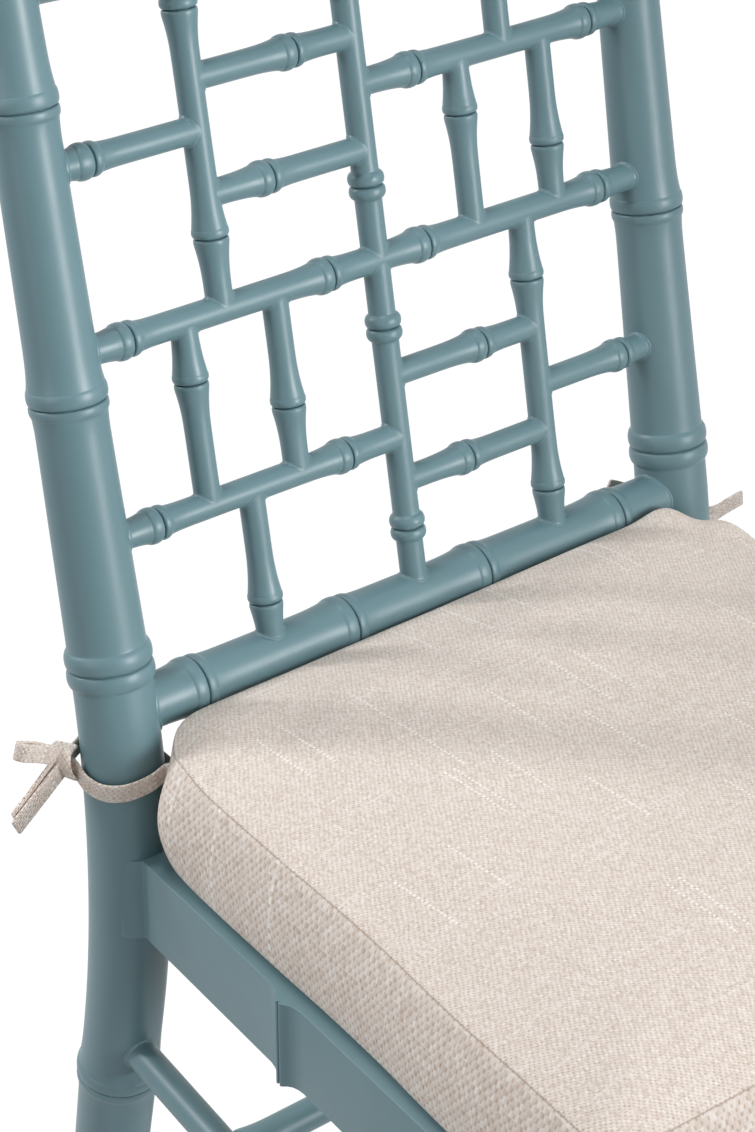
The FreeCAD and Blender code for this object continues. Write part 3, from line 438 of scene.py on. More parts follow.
lattice_stick("right_stile", (STILE_REACH, MIDDLE_RAIL_RISE), (STILE_REACH, -END_RAIL_RISE),
              ringed(FLARED, 0.195, 0.833), ("middle_rail", "bottom_rail"))

NEAR_RUNG, FAR_RUNG, POST_RUNG = 62.6 * MM, 122.8 * MM, 96.9 * MM
rungs = (("upper_left_rung_near", -STILE_REACH, 0, NEAR_RUNG, 0.38, ("left_stile", "upper_centre_stile")),
         ("upper_left_rung_far", -STILE_REACH, 0, FAR_RUNG, 0.617, ("left_stile", "upper_centre_stile")),
         ("upper_left_rung_post", -POST_REACH, -STILE_REACH, POST_RUNG, 0.31, ("post", "left_stile")),
         ("lower_right_rung_near", 0, STILE_REACH, -NEAR_RUNG, 0.617, ("lower_centre_stile", "right_stile")),
         ("lower_right_rung_far", 0, STILE_REACH, -FAR_RUNG, 0.443, ("lower_centre_stile", "right_stile")),
         ("lower_right_rung_post", STILE_REACH, POST_REACH, -POST_RUNG, 0.64, ("right_stile", "post")))
for node, left, right, up, share, mates in rungs:
    lattice_stick(node, (left, up), (right, up), ringed(STEPPED, share), mates)

NEAR_SPINDLE, FAR_SPINDLE, END_SPINDLE = 68.7 * MM, 127.5 * MM, 100.2 * MM
spindles = (("lower_left_spindle_far", -FAR_SPINDLE, MIDDLE_RAIL_RISE, -SHORT_RAIL_RISE, 0.325,
             ("middle_rail", "lower_left_rail")),
            ("lower_left_spindle_near", -NEAR_SPINDLE, MIDDLE_RAIL_RISE, -SHORT_RAIL_RISE, 0.62,
             ("middle_rail", "lower_left_rail")),
            ("lower_left_spindle_end", -END_SPINDLE, -SHORT_RAIL_RISE, -END_RAIL_RISE, 0.67,
             ("lower_left_rail", "bottom_rail")),
            ("upper_right_spindle_near", NEAR_SPINDLE, SHORT_RAIL_RISE, MIDDLE_RAIL_RISE, 0.327,
             ("upper_right_rail", "middle_rail")),
            ("upper_right_spindle_far", FAR_SPINDLE, SHORT_RAIL_RISE, MIDDLE_RAIL_RISE, 0.65,
             ("upper_right_rail", "middle_rail")),
            ("upper_right_spindle_end", END_SPINDLE, END_RAIL_RISE, SHORT_RAIL_RISE, 0.325,
             ("top_rail", "upper_right_rail")))
for node, across, upper, lower, share, mates in spindles:
    lattice_stick(node, (across, upper), (across, lower), ringed(FLARED, share), mates)

# Stretchers: turned bars between the legs, two at each side that fall to the front, one behind and a
# thicker foot rail in front, tenoned into the legs.
STRETCHER_DROP = 24 * MM
UPPER_STRETCHER_FALL = 136 * MM
LOWER_STRETCHER_HEIGHT = 196 * MM
REAR_STRETCHER_HEIGHT = 323 * MM
FOOT_RAIL_HEIGHT = 222 * MM
SIDE_GIRTH, REAR_GIRTH, FOOT_GIRTH = 9 * MM, 10 * MM, 13 * MM


def rear_axis(side, height):
    run = (BEND_CORNER.z - height) / math.cos(RECLINE)
    return BEND_CORNER + Vector((side * POST_REACH, 0, 0)) + FALLING * run


def front_axis(side, height):
    return Vector((side * LEG_REACH, LEG_Y, height))


def leg_girth(height):
    return between(leg_outline, SEAT_TOP - height)


def stretcher(node, start, end, radius, shares, axes):
    rings = [(FLARED, share * (end - start).length, 1.05, 0.9) for share in shares]
    mates = [(point, axis, leg_girth(point.z)) for point, axis in zip((start, end), axes)]
    turned_stick(f"bar_{node}", start, end, radius, rings, mates, node)


UPRIGHT = Vector((0, 0, 1))
for side, side_name in SIDES:
    for level, height in (("upper", SEAT_TOP - UPPER_STRETCHER_FALL), ("lower", LOWER_STRETCHER_HEIGHT)):
        stretcher(f"{level}_stretcher_{side_name}", rear_axis(side, height),
                  front_axis(side, height - STRETCHER_DROP), SIDE_GIRTH, (0.55,), (FALLING, UPRIGHT))
stretcher("rear_stretcher", rear_axis(-1, REAR_STRETCHER_HEIGHT), rear_axis(1, REAR_STRETCHER_HEIGHT),
          REAR_GIRTH, (0.25, 0.74), (FALLING, FALLING))
stretcher("front_foot_rail", front_axis(-1, FOOT_RAIL_HEIGHT), front_axis(1, FOOT_RAIL_HEIGHT),
          FOOT_GIRTH, (0.3, 0.74), (UPRIGHT, UPRIGHT))

# Seat rails: beech boards on edge between the posts and legs, with eased edges. A bamboo node is carved
# across the side and front rails, and a side rail ends in an ear scribed to the rear post.
RAIL_HEIGHT = 49 * MM
RAIL_INNER = 19.5 * MM
RAIL_PROUD = 4.5 * MM
REAR_RAIL_HALF = 11 * MM
POST_Y = middle_of("rear_rail").y
SIDE_NODE = 166 * MM
RAIL_EASE = 1.6 * MM
# The carved node and the ear in millimetres: distance along the rail and distance out.
CARVED = ((-15, 0), (-11, 0.5), (-7, 1.6), (-4.2, 3.3), (-2.6, 4.8), (-1.4, 5.4), (-0.5, 4.9), (0, 3.6),
          (0.5, 4.8), (1.4, 5.3), (2.8, 4.6), (4.6, 3), (7.5, 1.4), (11, 0.45), (15, 0))
CARVED_DROP = 0.35
EAR = ((0, 14.2), (17.1, 14.2), (19.4, 11.6), (21.4, 9.1), (22.9, 6.4), (23.8, 4.5))


def seat_rail(name, node, start, end, outward, outer_edge, inner):
    """A rail from its outer edge in plan: (distance from the start, distance out, drop of the lower edge)."""
    outline = [(0, -inner, 0)] + outer_edge + [((end - start).length, -inner, 0)]
    bpy.ops.mesh.primitive_circle_add(vertices=len(outline), radius=1, fill_type="NGON")
    rail = bpy.context.object
    rail.name = name
    for vertex, (along, out, _) in zip(rail.data.vertices, outline):
        vertex.co = (along, out, 0)
    bpy.ops.object.mode_set(mode="EDIT")
    bpy.ops.mesh.select_all(action="SELECT")
    bpy.ops.mesh.extrude_region_move(TRANSFORM_OT_translate={"value": (0, 0, RAIL_HEIGHT)})
    bpy.ops.object.mode_set(mode="OBJECT")
    face_outwards()
    drops = {round(along, 6): drop for along, _, drop in outer_edge}
    for vertex in rail.data.vertices:
        if vertex.co.z < RAIL_HEIGHT / 2 and vertex.co.y > -inner / 2:
            vertex.co.z -= drops.get(round(vertex.co.x, 6), 0)
    apply_modifier(rail, "BEVEL", width=RAIL_EASE, segments=4, limit_method="ANGLE",
                   angle_limit=math.radians(50))
    bpy.ops.object.shade_smooth_by_angle(angle=math.radians(38))
    direction = (end - start).normalized()
    place = Matrix((direction, outward, UPRIGHT)).transposed().to_4x4()
    place.translation = (start.x, start.y, SEAT_TOP - RAIL_HEIGHT)
    settle(rail, place, lacquer, node)
    face_outwards()


def carved(node_place):
    return [(node_place + along * MM, RAIL_PROUD + rise * MM, rise * CARVED_DROP * MM)
            for along, rise in CARVED]


for side, side_name in SIDES:
    start = Vector((side * POST_REACH, POST_Y, 0))
    end = front_axis(side, 0)
    direction = (end - start).normalized()
    outward = Vector((-direction.y, direction.x, 0)) * side
    ear = [(along * MM, out * MM, 0) for along, out in EAR]
    seat_rail(f"rail_{side_name}", f"side_rail_{side_name}", start, end, outward,
              ear + carved(SIDE_NODE) + [((end - start).length, RAIL_PROUD, 0)], RAIL_INNER)
seat_rail("rail_front", "front_rail", front_axis(-1, 0), front_axis(1, 0), Vector((0, -1, 0)),
          [(0, RAIL_PROUD, 0)] + carved(LEG_REACH) + [(2 * LEG_REACH, RAIL_PROUD, 0)], RAIL_INNER)
seat_rail("rail_rear", "rear_rail", Vector((-POST_REACH, POST_Y, 0)), Vector((POST_REACH, POST_Y, 0)),
          Vector((0, 1, 0)), [(0, REAR_RAIL_HALF, 0), (2 * POST_REACH, REAR_RAIL_HALF, 0)], REAR_RAIL_HALF)

# Seat panel and corner blocks: a plywood board let in between the rails, on softwood blocks that are
# screwed to the rails. They stay bare wood under the cushion.


def bare_wood(name, light, dark, stretch):
    """Unfinished wood: long grain bands, fine pores and a dry surface."""
    material, tree, shader = new_material(name)
    lay = add_node(tree, "Mapping", {"Vector": on_piece(tree), "Scale": stretch}).outputs["Vector"]
    bands = noise(tree, lay, 5, 6, 0.6)
    feed(tree, shader, {"Base Color": ramp(tree, bands, (0.35, dark), (0.65, light)),
                        "Roughness": ranged(tree, bands, 0.62, 0.8),
                        "Normal": bumped(tree, bands, 0.25, 0.5 * MM)})
    return material


def finish_node(node, material):
    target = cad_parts[node]
    target.data.materials.clear()
    target.data.materials.append(material)


plywood = bare_wood("birch_plywood", (0.62, 0.47, 0.31), (0.5, 0.35, 0.21), (2, 14, 14))
softwood = bare_wood("pine_block", (0.6, 0.43, 0.25), (0.42, 0.27, 0.14), (3, 22, 30))
finish_node("seat_panel", plywood)
for end_name in ("front", "rear"):
    for _, side_name in SIDES:
        finish_node(f"corner_block_{end_name}_{side_name}", softwood)

# Fixings: pan-head steel screws, zinc plated. One group holds the corner blocks to the rails, the other
# holds the seat panel to the blocks.
zinc, zinc_tree, zinc_shader = new_material("zinc_plate")
spangle = noise(zinc_tree, on_piece(zinc_tree), 900)
zinc_tone = ramp(zinc_tree, spangle, (0.35, (0.52, 0.53, 0.52)), (0.65, (0.68, 0.68, 0.66)))
feed(zinc_tree, zinc_shader, {"Base Color": zinc_tone, "Metallic": 1,
                              "Roughness": ranged(zinc_tree, spangle, 0.28, 0.42)})
for node in ("block_screws", "panel_screws"):
    finish_node(node, zinc)

# Foot glides: moulded nylon discs under the four legs, each on a pin that is driven up into the end of
# its leg.
nylon, nylon_tree, nylon_shader = new_material("moulded_nylon")
grain = noise(nylon_tree, on_piece(nylon_tree), 1400)
nylon_tone = ramp(nylon_tree, grain, (0.3, (0.035, 0.035, 0.036)), (0.7, (0.055, 0.055, 0.056)))
feed(nylon_tree, nylon_shader, {"Base Color": nylon_tone, "Roughness": 0.55,
                                "Normal": bumped(nylon_tree, grain, 0.15, 0.2 * MM)})
for end_name in ("front", "rear"):
    for _, side_name in SIDES:
        finish_node(f"foot_glide_{end_name}_{side_name}", nylon)

# Box cushion: a foam pad in a sewn linen-look cover, with a top panel, a boxing strip and a seam round
# each edge. It lies loose on the seat, pressed against the bottom rail, and is held by its ties.
CUSHION_BASE = SEAT_TOP + 0.3 * MM
SEAM_RISE = 63 * MM
REAR_LIFT = 7 * MM
CROWN = 11 * MM
SIDE_BOW = 4.5 * MM
CORNER_BOW = 6 * MM
SIDE_FOOT = 5 * MM
LARGEST_SWELL = 7 * MM
# The seam in plan, in millimetres: distance from the middle and distance forward of the rear posts.
REAR_HALF = ((0, 12.2), (80, 12.2), (150, 12.4), (167, 13.6), (178, 17.4), (185, 23))
RIGHT_SIDE = ((185, 23), (190, 30), (194, 38), (198.1, 54), (202.3, 81), (206.2, 118), (209.6, 152),
              (213.5, 195), (218.5, 238), (222.5, 264), (227.5, 300), (232, 340), (237, 380), (238, 391),
              (236.2, 399), (231.4, 404))
FRONT_HALF = ((231.4, 404), (226, 408.5), (213, 411.5), (120, 413.5), (0, 414))
PLAN_STEPS = 6


def smooth_path(points, steps):
    """Points on a smooth curve through given ones."""
    ends = [points[0] * 2 - points[1]] + points + [points[-1] * 2 - points[-2]]
    path = []
    for index in range(len(points) - 1):
        a, b, c, d = ends[index:index + 4]
        for step in range(steps):
            t = step / steps
            path.append(((2 * b) + (c - a) * t + (2 * a - 5 * b + 4 * c - d) * t * t
                         + (3 * b - a - 3 * c + d) * t ** 3) / 2)
    return path + [points[-1]]


def plan_curve(points):
    """One side of the cushion in plan as pairs: share of its run, and place."""
    path = smooth_path([Vector((across * MM, POST_Y - forward * MM)) for across, forward in points], PLAN_STEPS)
    runs = [0.0]
    for first, last in zip(path, path[1:]):
        runs.append(runs[-1] + (last - first).length)
    return [(run / runs[-1], place) for run, place in zip(runs, path)]


def mirrored(points):
    return tuple((-across, forward) for across, forward in points)


rear_curve = plan_curve(mirrored(REAR_HALF)[:0:-1] + REAR_HALF)
front_curve = plan_curve(mirrored(FRONT_HALF)[:-1] + FRONT_HALF[::-1])
right_curve = plan_curve(RIGHT_SIDE[::-1])
left_curve = plan_curve(mirrored(RIGHT_SIDE)[::-1])


def on_plan(u, v):
    """A place in plan from shares across and from front to rear, between the four sides."""
    front, rear, left, right = (between(curve, share) for curve, share in
                                ((front_curve, u), (rear_curve, u), (left_curve, v), (right_curve, v)))
    corners = (front_curve[0][1] * (1 - u) + front_curve[-1][1] * u) * (1 - v)
    corners = corners + (rear_curve[0][1] * (1 - u) + rear_curve[-1][1] * u) * v
    return front * (1 - v) + rear * v + left * (1 - u) + right * u - corners


cushion_outline = [place for curve in (front_curve, right_curve, rear_curve[::-1], left_curve[::-1])
                   for _, place in curve[:-1]]


def seam_distance(place):
    """How far a place in plan lies inside the seam."""
    nearest = 1.0
    for first, last in zip(cushion_outline, cushion_outline[1:] + cushion_outline[:1]):
        run = last - first
        share = max(min((place - first).dot(run) / max(run.dot(run), 1e-12), 1), 0)
        nearest = min(nearest, (place - first - run * share).length)
    return nearest


REAR_SLOPE_START = 75 * MM
REAR_SLOPE_RUN = 60 * MM
RIGHT_LIFT = 4 * MM
# Places where the seam is pushed up at the right rear corner, and drawn down beside the posts: across,
# behind the seat's middle, reach and height.
SEAM_LIFTS = ((205, 105, 24, 8), (173, 137, 16, 5), (-189, POST_Y / MM - 28, 13, -6),
              (189, POST_Y / MM - 28, 13, -6))


def soft_rises(place, rises):
    """The sum of soft rises and hollows at a place."""
    return sum(height * MM * math.exp(-((place - Vector((x * MM, y * MM))).length / (reach * MM)) ** 2)
               for x, y, reach, height in rises)


def seam_height(place):
    """The seam lies higher at the rear, where the pad is pushed up against the bottom rail."""
    rear = ease((place.y - (POST_Y - REAR_SLOPE_START)) / REAR_SLOPE_RUN)
    tilt = ease((place.x + POST_REACH) / (2 * POST_REACH))
    return CUSHION_BASE + SEAM_RISE + rear * (REAR_LIFT + tilt * RIGHT_LIFT) + soft_rises(place, SEAM_LIFTS)


CROWN_RUN = 62 * MM
CROWN_ROUNDING = 2.3
SWELL_RUN = 25 * MM
# Hollows and swells of the top panel: across, behind the seat's middle, reach and height.
SWELLS = ((-105, 66, 46, -2.4), (-48, 92, 40, 1.8), (20, 84, 46, -2.2), (92, 96, 44, 2), (135, 70, 40, -1.6),
          (-20, 5, 90, 1.5), (70, -70, 80, -1.2), (-110, -40, 70, 1.2))


def top_height(place, inside):
    crown = CROWN * (1 - (1 - min(inside / CROWN_RUN, 1)) ** CROWN_ROUNDING)
    return crown + soft_rises(place, SWELLS) * ease(inside / SWELL_RUN)


bpy.ops.mesh.primitive_cube_add(size=2)
cushion = bpy.context.object
cushion.name = "box_cushion"
X_CUTS, Y_CUTS, Z_CUTS = 93, 77, 11
for axis, cuts in ((2, Z_CUTS), (0, X_CUTS), (1, Y_CUTS)):
    bpy.ops.object.mode_set(mode="EDIT")
    bpy.ops.mesh.select_mode(type="EDGE")
    bpy.ops.mesh.select_all(action="DESELECT")
    bpy.ops.object.mode_set(mode="OBJECT")
    for edge in cushion.data.edges:
        first, last = (cushion.data.vertices[index].co for index in edge.vertices)
        edge.select = abs(first[axis] - last[axis]) > 1e-6
    bpy.ops.object.mode_set(mode="EDIT")
    bpy.ops.mesh.subdivide(number_cuts=cuts)
    bpy.ops.object.mode_set(mode="OBJECT")
sewn = cushion.vertex_groups.new(name="sewn")
seam = cushion.vertex_groups.new(name="seam")
centre = on_plan(0.5, 0.5)
EDGE = 1 - 1e-5
REAR_FACE_START, REAR_FACE_RUN = 40 * MM, 20 * MM
CORNER_BOW_START, CORNER_BOW_RUN = 42 * MM, 26 * MM
SIDE_SHARE = 0.97
for vertex in cushion.data.vertices:
    x, y, z = vertex.co
    place = on_plan((x + 1) / 2, (y + 1) / 2)
    share = (z + 1) / 2
    height = CUSHION_BASE + (seam_height(place) - CUSHION_BASE) * share
    if max(abs(x), abs(y)) > EDGE:
        out = (place - centre).normalized()
        rear = ease((place.y - (POST_Y - REAR_FACE_START)) / REAR_FACE_RUN)
        corner = math.exp(-((POST_Y - CORNER_BOW_START - place.y) / CORNER_BOW_RUN) ** 2)
        full = CORNER_BOW * corner * math.sin(math.pi * share) + SIDE_FOOT * (1 - rear) * (1 - share)
        full *= ease((abs(x) - SIDE_SHARE) / (1 - SIDE_SHARE))
        place = place + out * SIDE_BOW * (1 - rear) * math.sin(math.pi * share) + Vector((x, 0)) * full
        if abs(z) > EDGE:
            sewn.add([vertex.index], 1, "REPLACE")
        if z > EDGE:
            seam.add([vertex.index], 1, "REPLACE")
    elif z > 0:
        height += top_height(place, seam_distance(place))
    else:
        sewn.add([vertex.index], 1, "REPLACE")
    vertex.co = (place.x, place.y, height)
rest_places = [vertex.co.copy() for vertex in cushion.data.vertices]
CLOTH_STEPS = 20
pick(cushion)
bpy.ops.object.modifier_add(type="CLOTH")
cloth = cushion.modifiers[-1]
cloth.settings.quality = 6
cloth.settings.mass = 0.3
cloth.settings.tension_stiffness = 10
cloth.settings.compression_stiffness = 10
cloth.settings.bending_stiffness = 0.8
cloth.settings.use_pressure = True
cloth.settings.uniform_pressure_force = 4
cloth.settings.vertex_group_mass = "sewn"
cloth.settings.effector_weights.gravity = 0
for step in range(1, CLOTH_STEPS + 1):
    bpy.context.scene.frame_set(step)
bpy.ops.object.modifier_apply(modifier=cloth.name)
bpy.context.scene.frame_set(1)
for vertex, rest in zip(cushion.data.vertices, rest_places):
    move = vertex.co - rest
    if move.length > LARGEST_SWELL:
        move = move.normalized() * LARGEST_SWELL
    vertex.co = rest + move
rims = {vertex.index for vertex in cushion.data.vertices
        if any(entry.group == seam.index for entry in vertex.groups)}
SEAM_CREASE = 0.75
creases = cushion.data.attributes.new("crease_edge", "FLOAT", "EDGE")
for edge in cushion.data.edges:
    if edge.vertices[0] in rims and edge.vertices[1] in rims:
        creases.data[edge.index].value = SEAM_CREASE
# How far each place lies inside the seam, or as a negative number below it, for the groove and the painted
# shade along each seam of the cover.
FAR_FROM_SEAM = 50 * MM
SIDE_STRIP = 6 * MM
gaps = cushion.data.attributes.new("seam_gap", "FLOAT", "POINT")
for vertex, rest in zip(cushion.data.vertices, rest_places):
    inside = seam_distance(rest.xy)
    below = seam_height(rest.xy) - rest.z
    on_side = below > MM and inside < SIDE_STRIP
    gaps.data[vertex.index].value = -below if on_side else min(inside, FAR_FROM_SEAM)
for index in rims:
    gaps.data[index].value = 0
apply_modifier(cushion, "SUBSURF", levels=1, render_levels=1)
bpy.ops.object.shade_smooth()


YARN_WAVER = 1.9 * MM
FLOAT_LEAN = 0.3
YARN_RUN = 0.6
LONG_SLUB_RUN, LONG_SLUB_RARITY, LONG_SLUB_SHOW = 0.03, 0.982, 0.65
CROSS_SLUB_RUN, CROSS_SLUB_RARITY, CROSS_SLUB_SHOW = 0.05, 0.955, 0.3
SLUB_TONE = (0.93, 0.91, 0.88, 1)
# Painted shade along each seam, standing in for the shade in its crease.
SEAM_SHADE_TONE = (0.4, 0.33, 0.28, 1)
SEAM_ALLOWANCE = 5 * MM


def woven_cover(name, yarn):
    """Woven cover cloth: staggered floats with painted shade in the gaps between them, flecked tone, stray
    white slubs, and sewn seam lines pressed in with painted shade along them.
    """
    material, tree, shader = new_material(name)

    def calculate(operation, *values):
        return add_node(tree, "Math", dict(enumerate(values)), operation=operation).outputs[0]

    def times(first, second):
        return calculate("MULTIPLY", first, second)

    def run_number(value, run):
        return calculate("FLOOR", times(value, run))

    def vector(x, y):
        return add_node(tree, "CombineXYZ", {"X": x, "Y": y}).outputs["Vector"]

    def chance(x, y):
        return add_node(tree, "TexWhiteNoise", {"Vector": vector(x, y)},
                        noise_dimensions="2D").outputs["Value"]

    def mixed(blend, factor, first, second):
        return add_node(tree, "Mix", {0: factor, 6: first, 7: second}, data_type="RGBA",
                        blend_type=blend).outputs[2]

    def band(distance, near, far, **settings):
        """One on a line and none far from it."""
        ends = {"From Min": near, "From Max": far, "To Min": 1, "To Max": 0}
        return add_node(tree, "MapRange", {"Value": calculate("ABSOLUTE", distance), **ends},
                        **settings).outputs["Result"]

    weave = add_node(tree, "TexCoord", {}).outputs["UV"]
    split = add_node(tree, "SeparateXYZ", {"Vector": weave}).outputs
    waver = noise(tree, weave, 130, 4)
    across = calculate("DIVIDE", calculate("MULTIPLY_ADD", waver, YARN_WAVER, split["X"]), yarn)
    along = calculate("DIVIDE", calculate("MULTIPLY_ADD", waver, -YARN_WAVER, split["Y"]), yarn)
    over = add_node(tree, "TexChecker", {"Scale": 1, "Vector": vector(across, along)}).outputs["Fac"]
    under = calculate("SUBTRACT", 1, over)
    warp_number = calculate("FLOOR", across)
    weft_number = calculate("FLOOR", along)
    lean = calculate("ADD", calculate("MULTIPLY_ADD", along, FLOAT_LEAN, across), weft_number)
    dip = calculate("PINGPONG", lean, 1)
    float_end = calculate("POWER", calculate("ABSOLUTE", calculate("COSINE", times(along, math.pi))), 4)
    strand = calculate("MAXIMUM", times(dip, 1.3), times(float_end, 0.7))
    tone_warp = chance(warp_number, run_number(along, YARN_RUN))
    tone_weft = chance(run_number(across, YARN_RUN), weft_number)
    fleck = calculate("ADD", times(tone_warp, over), times(tone_weft, under))
    fleck = calculate("MULTIPLY_ADD", chance(warp_number, weft_number), 0.3, times(fleck, 0.4))
    fleck = calculate("MULTIPLY_ADD", noise(tree, weave, 420, 3), 0.42, calculate("SUBTRACT", fleck, 0.06))
    cloth_tone = ramp(tree, fleck, (0.2, (0.62, 0.53, 0.465)), (0.5, (0.715, 0.64, 0.585)),
                      (0.8, (0.79, 0.735, 0.695)))
    # The gaps between the floats are darkened: painted shade in the hollows of the weave.
    gap_shade = ramp(tree, strand, (0.1, (0.73, 0.59, 0.48)), (0.5, (1.0, 1.0, 1.0)))
    woven = mixed("MULTIPLY", 0.8, cloth_tone, gap_shade)
    long_slub = calculate("GREATER_THAN", chance(warp_number, run_number(along, LONG_SLUB_RUN)),
                          LONG_SLUB_RARITY)
    cross_slub = calculate("GREATER_THAN", chance(run_number(across, CROSS_SLUB_RUN), weft_number),
                           CROSS_SLUB_RARITY)
    slub = calculate("ADD", times(times(long_slub, over), LONG_SLUB_SHOW),
                     times(times(cross_slub, under), CROSS_SLUB_SHOW))
    woven = mixed("MIX", slub, woven, SLUB_TONE)
    seam_gap = add_node(tree, "Attribute", {}, attribute_name="seam_gap").outputs["Fac"]
    # A band along each seam: a groove in the bump, and painted shade that darkens the cloth in it.
    seam_groove_and_shade = band(seam_gap, 0.15 * MM, 0.75 * MM)
    woven = mixed("MULTIPLY", times(seam_groove_and_shade, 0.5), woven, SEAM_SHADE_TONE)
    allowance = band(calculate("ADD", seam_gap, SEAM_ALLOWANCE), 0.5 * MM, 2.2 * MM,
                     interpolation_type="SMOOTHSTEP")
    height = calculate("MULTIPLY_ADD", slub, 0.4, strand)
    height = calculate("MULTIPLY_ADD", seam_groove_and_shade, -2.2, height)
    height = calculate("MULTIPLY_ADD", allowance, 0.5, height)
    feed(tree, shader, {"Base Color": woven, "Roughness": ranged(tree, strand, 0.95, 0.82),
                        "Normal": bumped(tree, height, 0.4, 0.5 * MM), "Specular IOR Level": 0.15,
                        "Sheen Weight": 0.12, "Sheen Roughness": 0.5})
    return material


SIDE_WEAVE_ROUND = 0.62
SIDE_WEAVE_UP = 0.4
STEEP = 0.6


def lay_cloth(piece):
    """Lays the weave on a piece: in metres on top, and drawn larger round the sides."""
    layer = piece.data.uv_layers.new(name="weave")
    layer.active = True
    for face in piece.data.polygons:
        sideways = abs(face.normal.x) > abs(face.normal.y)
        for corner in face.loop_indices:
            point = piece.data.vertices[piece.data.loops[corner].vertex_index].co
            if abs(face.normal.z) < STEEP:
                run = point.y if sideways else point.x
                layer.data[corner].uv = (run * SIDE_WEAVE_ROUND, point.z * SIDE_WEAVE_UP)
            else:
                layer.data[corner].uv = (point.x, point.y)


while cushion.data.uv_layers:
    cushion.data.uv_layers.remove(cushion.data.uv_layers[0])
cover = woven_cover("linen_cover", 1.4 * MM)
lay_cloth(cushion)
settle(cushion, Matrix(), cover, "seat_cushion", slot="cushion_fabric")

# Cushion ties: folded and stitched tapes of the cover cloth, sewn into the rear corners and tied in a
# bow beside each post.
TIE_WIDTH = 10.5 * MM
TIE_THICKNESS = 2 * MM
KNOT_WIDTH = 14 * MM
TAPE_STEPS = 8


def tape(name, points, flats, width=TIE_WIDTH):
    """A flat tape along a path; flats are the directions across its width at the given points."""
    path = smooth_path([Vector(point) * MM for point in points], TAPE_STEPS)
    widths = smooth_path([Vector(flat).normalized() for flat in flats], TAPE_STEPS)
    bpy.ops.mesh.primitive_grid_add(x_subdivisions=len(path) - 1, y_subdivisions=4, size=1, calc_uvs=True)
    band = bpy.context.object
    band.name = name
    length = sum((last - first).length for first, last in zip(path, path[1:]))
    layer = band.data.uv_layers.active
    layer.name = "weave"
    for loop in layer.data:
        loop.uv = (loop.uv[0] * length, loop.uv[1] * width)
    for vertex in band.data.vertices:
        station = round((vertex.co.x + 0.5) * (len(path) - 1))
        ahead = path[min(station + 1, len(path) - 1)] - path[max(station - 1, 0)]
        flat = widths[station] - ahead * (widths[station].dot(ahead) / ahead.dot(ahead))
        vertex.co = path[station] + flat.normalized() * vertex.co.y * width
    apply_modifier(band, "SOLIDIFY", thickness=TIE_THICKNESS, offset=0)
    apply_modifier(band, "SUBSURF", levels=2, render_levels=2)
    bpy.ops.object.shade_smooth()
    gaps = band.data.attributes.new("seam_gap", "FLOAT", "POINT")
    for entry in gaps.data:
        entry.value = FAR_FROM_SEAM
    return band


tie_cover = woven_cover("linen_tape", 1.5 * MM)
TIE_ON_BEND = 0.27
TIE_REACH = 24.3
KNOT_GAP = 4.5
post_y = (BEND_CORNER + bend_point(TIE_ON_BEND)).y / MM
up, back = Vector((0, 0, 1)), Vector((0, 1, 0))
# Each tie: side, turn and height of its knot, then its loop and its two free ends from the knot, as
# millimetres out, back and up.
TIES = ((-1, "left", 207, 661.5,
         ((0, 0, 0), (7, 1, 5), (16, 1, 10), (25, 2, 13.5), (26, 8, 13), (14, 7, 8), (2, 3, 1)),
         (((0, 0, 0), (9, -2, -4.5), (24, -6, -11.5), (41, -10, -20)),
          ((0, 2, 1), (9, 1, -2.5), (23, -3, -9), (39, -7, -17)))),
        (1, "right", 212, 656,
         ((0, 0, 0), (5, 10, 2), (8, 22, 0), (6, 30, -3), (0, 29, -3), (-2, 18, -1), (0, 4, 0)),
         (((0, 0, 0), (7, -5, -1), (13, -10, -2), (26, -10.5, 0), (38, -10.5, 1.5)),
          ((0, 2, 1), (-12, 14, 5), (-28, 17, 14), (-44, 14, 24), (-55, 11, 30)))))
# The two bands of a tie on their way round the post: turn, height and gap.
FRONT_BAND = ((66, 657.5, 1.5), (92, 655.5, 0), (122, 653, 0), (150, 652, 0), (176, 653.5, 0), (196, 657, 1))
REAR_BAND = ((0, 648, 1), (-40, 653, 0), (-75, 659, 0), (-105, 663, 0), (-130, 664, 0))
